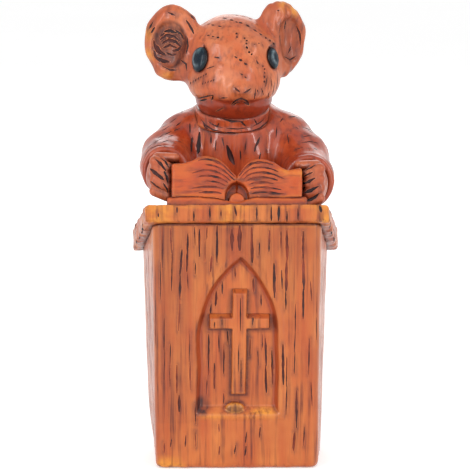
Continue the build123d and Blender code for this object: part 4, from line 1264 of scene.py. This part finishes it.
def skull_field(p):
    """The head before the eyes are set in."""
    q = to_head(p)
    z = q[:, 2]
    upper = egg(q, (0, 0.5, 0.9), (10.6, 9.9, 10.1))
    upper = soft_min(upper, egg(tilted(q - MUZZLE_MIDDLE, MUZZLE_DROP), (0, 0, 0), (7.5, 9.1, 6.5)), 4.0)
    mirrored = np.stack([np.abs(q[:, 0]), q[:, 1], z], axis=1)
    upper = soft_min(upper, egg(mirrored, (5.0, -2.6, -3.8), (4.6, 6.0, 4.3)), 3.0)
    brow = limb(mirrored, (3.4, -7.2, 4.4), (7.6, -4.2, 4.6), 1.1, 1.1)
    upper = soft_min(upper, brow, 2.2)
    upper = soft_max(upper, -(z + 7.8 - 0.05 * np.abs(q[:, 0])), 1.2)
    upper = soft_min(upper, egg(q, (0.2, -12.2, -4.6), (1.9, 1.3, 1.2)), 1.4)
    jaw = egg(q, (0, -2.4, -7.1), (8.5, 8.4, 5.6))
    head = soft_min(upper, jaw, 0.4)
    neck = soft_max(limb(q, (0, 1.0, -8.5), (0, 1.4, -18), 6.6, 6.6), -z - 14.0, 0.6)
    head = soft_min(head, neck, 0.8)
    return head + 0.13 * ripple(p, 5.2, 101) + 0.06 * ripple(p, 2.3, 102)


def eye_frame(name):
    """Where an eye sits on the skull, and the directions across it, up it and out of it."""
    angle = EYE_SPLAY * SIDES[name]
    way = from_head((math.sin(angle), -math.cos(angle), 0)) - HEAD_MIDDLE
    start = from_head((0, 0, EYE_RISE))
    reach = np.linspace(4, 14, 400)
    inside = skull_field(start + reach[:, None] * way) < 0
    place = start + reach[inside][-1] * way
    out = slope(skull_field, place[None])[0]
    out /= np.linalg.norm(out)
    across = np.cross((0, 0, 1), out)
    across /= np.linalg.norm(across)
    tall = np.cross(out, across)
    roll = EYE_ROLL * SIDES[name]
    c, s = math.cos(roll), math.sin(roll)
    return place, np.stack([c * across - s * tall, s * across + c * tall, out], axis=1)


EYES = {name: eye_frame(name) for name in SIDES}


def eye_field(name):
    place, axes = EYES[name]

    def field(p):
        return egg((p - place) @ axes, (0, 0, -0.1), EYE_RADII[name])
    return field


def head_field(p):
    """The skull with a shallow rim round each eye."""
    field = skull_field(p)
    for name, (place, axes) in EYES.items():
        across, tall, _ = EYE_RADII[name]
        field = soft_max(field, -egg((p - place) @ axes, (0, 0, 0.5), (across + 0.45, tall + 0.45, 1.1)), 0.5)
    return field


# Painted shade under the jaw, given as the rich tint; the tip of the snout is a little darker too.
def jaw_tint(p):
    q = to_head(p)
    below = np.clip((-6.5 - q[:, 2]) / 0.6, 0, 1)
    snout = 0.25 * np.clip((-8 - q[:, 1]) / 4, 0, 1)
    return np.maximum(below * np.clip((4 - q[:, 1]) / 3, 0, 1), snout)


HEAD_LINES = [
    (0.75, (234.5, 87.6), (237.5, 90.2), (240, 92.2)), (0.65, (251, 88.6), (247, 91.4), (243.6, 93)),
    (0.8, (231, 104.6), (235.5, 100.6), (241, 98.4), (246.5, 100.6), (249.4, 104.8)),
    (0.6, (233, 105), (237, 102.6), (240, 102)), (0.6, (243, 101.6), (246.5, 103.4), (249, 105.2)),
    (0.55, (197.6, 98.8), (205, 96.8), (213.2, 94.9)), (0.5, (213.2, 94.9), (212.6, 98), (211.4, 100.6)),
    (0.6, (200, 101), (204, 100), (207, 99)), (0.4, (215.4, 111.6), (220, 109.5), (224.3, 107.7)),
    (0.4, (220, 98.2), (227.6, 97.7)), (0.45, (214.2, 57), (219.8, 58)),
    (0.5, (255.6, 88.2), (255, 94), (254.4, 99.4)), (0.4, (261, 88), (262.6, 91.6), (263.4, 95)),
    (0.5, (266.6, 78), (266, 83), (265.6, 87)), (0.5, (270.6, 76), (271.4, 82), (272, 87)),
    (0.5, (274, 85), (273.4, 90), (272.6, 95)), (0.4, (277.8, 77), (277.2, 83), (276.6, 89)),
    (0.4, (257.2, 89.3), (257.8, 92.6)), (0.4, (268.6, 93), (268, 98)), (0.35, (206.5, 69), (214.5, 66)),
]


def head_dashes():
    """Rows of short tool marks over the forehead, bridge and cheeks."""
    marks = []
    marks += dash_row([(207, 24), (212.4, 25), (223.4, 27)], 3)
    marks += dash_row([(206, 35), (213, 36.4), (220.4, 38)], 3)
    marks += dash_row([(221, 17.4), (232, 20), (239, 23)], 3)
    marks += dash_row([(233.6, 14.8), (245, 16.2), (256, 21.2), (262, 25.4)], 5)
    marks += dash_row([(237, 21.4), (247, 25), (257, 31.8), (264.6, 37), (270.4, 41), (275.4, 45)], 7,
                      0.58, 0.85)
    marks += dash_row([(235.6, 32), (237.4, 35), (236.6, 39)], 2)
    marks += dash_row([(243, 37), (247.4, 40.6), (246, 45), (249, 52.6), (253, 55)], 6, 0.6)
    marks += dash_row([(233.6, 56), (240.6, 59.8), (248.2, 66)], 3, 0.66, 0.8)
    marks += dash_row([(239.6, 73), (247.4, 78.8)], 2, 0.62, 0.75)
    marks += dash_row([(256, 60), (258.6, 64.4)], 1, 0.9, 0.65)
    marks += dash_row([(262, 65), (265, 69.4), (264.6, 76), (264, 84)], 5, 0.6, 0.7)
    marks += dash_row([(252, 45), (259, 43), (264, 46)], 3, 0.4, 0.35)
    marks += [(0.45, (190 + 2.6 * i, 84.6 - 1.5 * i), (191 + 2.6 * i, 81.8 - 1.5 * i)) for i in range(7)]
    marks += [(0.45, (202.2 + 2.8 * i, 85 - 0.9 * i), (203 + 2.8 * i, 82.4 - 0.9 * i)) for i in range(5)]
    return marks


def make_head():
    low, high = HEAD_MIDDLE - (13, 16, 15.5), HEAD_MIDDLE + (13, 12, 12.5)
    near = [eye_field("left"), eye_field("right"), collar_field]
    piece = sculpt("head_face", head_field, low, high, 0.26, near, {"rich": jaw_tint})
    surface = Surface(piece)
    strokes = photo_strokes(surface, HEAD_LINES, 0.5, 7) + photo_strokes(surface, head_dashes(), 0.75)
    rng = np.random.default_rng(103)
    for row in range(7):
        rise = 7.0 - 2.5 * row
        for i in range(11):
            angle = math.radians(-65 + 13 * i + rng.uniform(-3, 3))
            start = from_head((12 * math.sin(angle), 12 * math.cos(angle), rise + rng.uniform(-0.4, 0.4)))
            strokes += loose_strokes(surface, [start], (math.cos(angle), -math.sin(angle), 0), (0.8, 1.6),
                                     0.42, rng)
    place_piece(piece, "head", FUR, strokes)


CUPS = {"left": ((-0.1, -2.5, -0.5), (4.2, 2.5, 5.3)), "right": ((1.9, -2.5, 0.0), (3.4, 2.5, 5.5))}


def to_ear(p, name):
    return turn_z(to_head(p) - np.asarray(EAR_MIDDLE[name]), EAR_SPLAY * SIDES[name])


def ear_field(name):
    def field(p):
        q = to_ear(p, name)
        leaf = egg(q, (0, 0, 0), (6.4, 2.6, 8.4))
        leaf = soft_max(leaf, -egg(q, *CUPS[name]), 0.9)
        leaf = leaf + 0.34 * ripple(p, 4.8, 111 + SIDES[name]) + 0.12 * ripple(p, 2.1, 113)
        blend = {"left": 3.0, "right": 1.5}[name]
        return graft(leaf, skull_field(p), blend, reach=blend)
    return field


VARNISH_SPOTS = {"left": [(-5.6, 2.0), (-5.2, -3.0), (-1.0, -7.4)], "right": [(0.5, 7.4), (3.0, 6.6)]}


def ear_amber(name):
    """Varnish pooled in spots on the ears' rims."""
    def tint(p):
        q = to_ear(p, name)
        spots = [np.hypot(q[:, 0] - x, q[:, 2] - z) for x, z in VARNISH_SPOTS[name]]
        return (1.3 - np.minimum.reduce(spots) / 1.7) * (q[:, 1] < 0.8)
    return tint


def ear_deep(name):
    """Painted shade darkens the ears' cups, the left one more."""
    share = {"left": 0.9, "right": 0.38}[name]

    def tint(p):
        return np.clip(1.0 - egg(to_ear(p, name), *CUPS[name]) / 0.5, 0, 1) * share
    return tint


EAR_HAIRS = {
    "left": [(0.9, (160, 40), (166, 35.6), (174, 36.5), (181, 42)),
             (0.9, (162, 44), (169, 40), (176, 42), (181, 47)),
             (0.8, (163, 48), (170, 45), (177, 48)), (1.0, (153.5, 40), (155.6, 48), (160, 54.6)),
             (0.9, (156, 45), (160, 52), (166, 55.5)), (0.7, (172, 51), (178, 50), (182, 46)),
             (0.7, (164, 32), (170, 30.6), (177, 33)), (0.7, (175, 30), (181, 34), (184, 40)),
             (0.8, (157, 57), (163, 61), (170, 62)), (0.7, (153.5, 50), (156, 57), (160, 62)),
             (0.6, (166, 52.5), (172, 55), (177, 54)), (0.5, (168, 12.5), (175.6, 15.6)),
             (0.6, (186, 20), (190, 26), (194, 34)), (0.6, (190, 14), (195, 20)),
             (0.6, (152, 15), (156.5, 11)),
             (0.5, (187, 36), (188, 46), (186, 54)), (0.5, (162, 66), (170, 70), (178, 70)),
             (0.6, (149, 29), (153, 22)),
             (0.5, (151, 33), (155, 27)), (0.5, (181, 60), (186, 64), (187, 71)),
             (0.4, (160, 36.5), (165, 33))],
    "right": [(0.5, (281, 22), (279.4, 32), (280.4, 44)), (0.5, (296, 25), (299.6, 34), (300.4, 45)),
              (0.45, (284, 56), (290, 60), (296, 56)), (0.4, (286, 20), (284, 30)),
              (0.4, (291, 46), (288, 54)),
              (0.35, (277, 10.5), (279.6, 10.6))],
}


def make_ear(name):
    middle = from_head(EAR_MIDDLE[name])
    near = [head_field] if name == "left" else []
    piece = sculpt(f"ear_{name}_leaf", ear_field(name), middle - (13, 9.5, 13), middle + (13, 9.5, 13),
                   0.24, near,
                   {"amber": ear_amber(name), "deep": ear_deep(name), "rich": even(0.35)})
    surface = Surface(piece)
    place_piece(piece, f"ear_{name}", FUR,
                photo_strokes(surface, [(1.25 * width, *line) for width, *line in EAR_HAIRS[name]], 0.5, 7))


def eye_polar(p, name):
    """How far out of an eye's middle points lie, one at its rim, and how far to the left."""
    place, axes = EYES[name]
    across, tall, _ = EYE_RADII[name]
    q = (p - place) @ axes
    return np.hypot(q[:, 0] / across, q[:, 1] / tall), -q[:, 0] / across


def make_eye(name):
    place, _ = EYES[name]

    # A painted highlight: a pale arc inside the eye, strongest on its left side.
    def ring(p):
        out, left = eye_polar(p, name)
        return np.exp(-np.square((out - 0.58) / 0.13)) * np.clip(0.35 + 1.1 * left, 0, 0.85)

    def rim(p):
        return (eye_polar(p, name)[0] - 0.8) / 0.12

    piece = sculpt(f"eye_{name}_dome", eye_field(name), place - 3.6, place + 3.6, 0.16, [head_field],
                   {"rich": ring, "deep": rim})
    place_piece(piece, f"eye_{name}", ENAMEL)


# Tail

def tail_point(share):
    angle = math.radians(108 - 84 * share)
    off = TAIL_R[0] + (TAIL_R[1] - TAIL_R[0]) * share - 0.3 - 5.0 * max(0.0, 1 - share / 0.3) ** 2
    across, deep = HEM_HALF[0] + off, HEM_HALF[1] + off
    return (across * math.cos(angle), HEM_MIDDLE_Y + deep * math.sin(angle),
            TAIL_R[0] + (TAIL_R[1] - TAIL_R[0]) * share)


def tail_field(p):
    shares = np.linspace(0, 1, 15)
    radii = TAIL_R[0] + (TAIL_R[1] - TAIL_R[0]) * shares
    cord = chain(p, [tail_point(share) for share in shares], radii, 0.6)
    cord = cord + 0.06 * ripple(p, 1.6, 121)
    return np.maximum(graft(cord, robe_field(p), 1.2), -p[:, 2])


def make_tail():
    piece = sculpt("tail_curl", tail_field, (-12, 4, -0.6), (23, 28, 8), 0.22, [robe_field])
    surface = Surface(piece)
    strokes = []
    for share in np.linspace(0.2, 0.95, 18):
        middle = np.array(tail_point(share))
        ahead = np.array(tail_point(share + 0.01)) - middle
        side = np.cross((0, 0, 1), ahead / np.linalg.norm(ahead))
        arc = [middle + 2.5 * (math.cos(a) * side + math.sin(a)
                               * np.array((0, 0, 1))) for a in np.linspace(2.8, 0.9, 6)]
        strokes.append(boat([surface.nearest(point) for point in arc], 0.4))
    place_piece(piece, "tail", FUR, strokes)


# Stage

def direct_view(tree):
    """One where a ray comes from the camera, a gloss or a clear body, and nought for plain light."""
    path = tree.nodes.new("ShaderNodeLightPath")
    total = path.outputs["Is Camera Ray"]
    for other in ("Is Glossy Ray", "Is Transmission Ray"):
        larger = tree.nodes.new("ShaderNodeMath")
        larger.operation = "MAXIMUM"
        tree.links.new(total, larger.inputs[0])
        tree.links.new(path.outputs[other], larger.inputs[1])
        total = larger.outputs["Value"]
    return total


def make_floor():
    """A wide pale sheet that the camera sees as white, with the figurine's shadow on it."""
    mesh = bpy.data.meshes.new("floor")
    half = 6.0
    mesh.from_pydata([(-half, -half, 0), (half, -half, 0), (half, half, 0), (-half, half, 0)], [],
                     [(0, 1, 2, 3)])
    floor = bpy.data.objects.new("floor", mesh)
    bpy.context.scene.collection.objects.link(floor)
    f = Finish("pale_floor")
    base = f.mix(f.window(f.noise(3, 2), 0.3, 0.7), colour(238, 238, 238), colour(242, 242, 242))
    f.shader.inputs["Emission Color"].default_value = (1, 1, 1, 1)
    f.link(f.window(direct_view(f.tree), 0, 1, 0.0, 0.42), f.shader.inputs["Emission Strength"])
    mesh.materials.append(f.done(base, f.window(f.noise(5, 2), 0, 1, 0.8, 0.9), 0.0, 0.5))


def make_world():
    """White to the eye and in reflections, softer as light."""
    world = bpy.data.worlds.new("studio")
    bpy.context.scene.world = world
    world.use_nodes = True
    tree = world.node_tree
    back = tree.nodes["Background"]
    level = tree.nodes.new("ShaderNodeMapRange")
    level.inputs["To Min"].default_value = 0.6
    level.inputs["To Max"].default_value = 1.0
    tree.links.new(direct_view(tree), level.inputs["Value"])
    back.inputs["Color"].default_value = (1, 1, 1, 1)
    tree.links.new(level.outputs["Result"], back.inputs["Strength"])


def make_lamp(name, place, size, power):
    lamp = bpy.data.lights.new(name, "AREA")
    lamp.shape = "RECTANGLE"
    lamp.size, lamp.size_y = size
    lamp.energy = power
    holder = bpy.data.objects.new(name, lamp)
    bpy.context.scene.collection.objects.link(holder)
    holder.location = place
    aim = Vector((0, 0, 0.055)) - Vector(place)
    holder.rotation_euler = aim.to_track_quat("-Z", "Y").to_euler()


def make_camera():
    place, right, up, back = camera_axes()
    lens = bpy.data.cameras.new("camera")
    lens.lens = LENS_MM
    lens.sensor_width = SENSOR_MM
    lens.clip_start = 0.01
    camera = bpy.data.objects.new("camera", lens)
    bpy.context.scene.collection.objects.link(camera)
    turned = Matrix((right, up, back)).transposed().to_4x4()
    camera.matrix_world = Matrix.Translation(Vector(place) * MM) @ turned
    bpy.context.scene.camera = camera


def make_stage():
    make_floor()
    make_world()
    make_lamp("left_strip", (-0.42, -0.42, 0.26), (0.08, 0.5), 1.35)
    make_lamp("right_strip", (0.44, -0.40, 0.24), (0.08, 0.5), 1.25)
    make_lamp("front_soft", (-0.12, -0.75, 0.55), (0.7, 0.5), 1.6)
    make_lamp("back_soft", (0.1, 0.7, 0.5), (0.6, 0.5), 1.4)
    make_camera()
    bpy.context.scene.view_settings.view_transform = "Standard"


make_pulpit()
make_cross()
make_board()
make_book()
make_robe()
make_collar()
make_head()
make_tail()
for hand in SIDES:
    make_sleeve(hand)
    make_paw(hand)
    make_ear(hand)
    make_eye(hand)
make_stage()
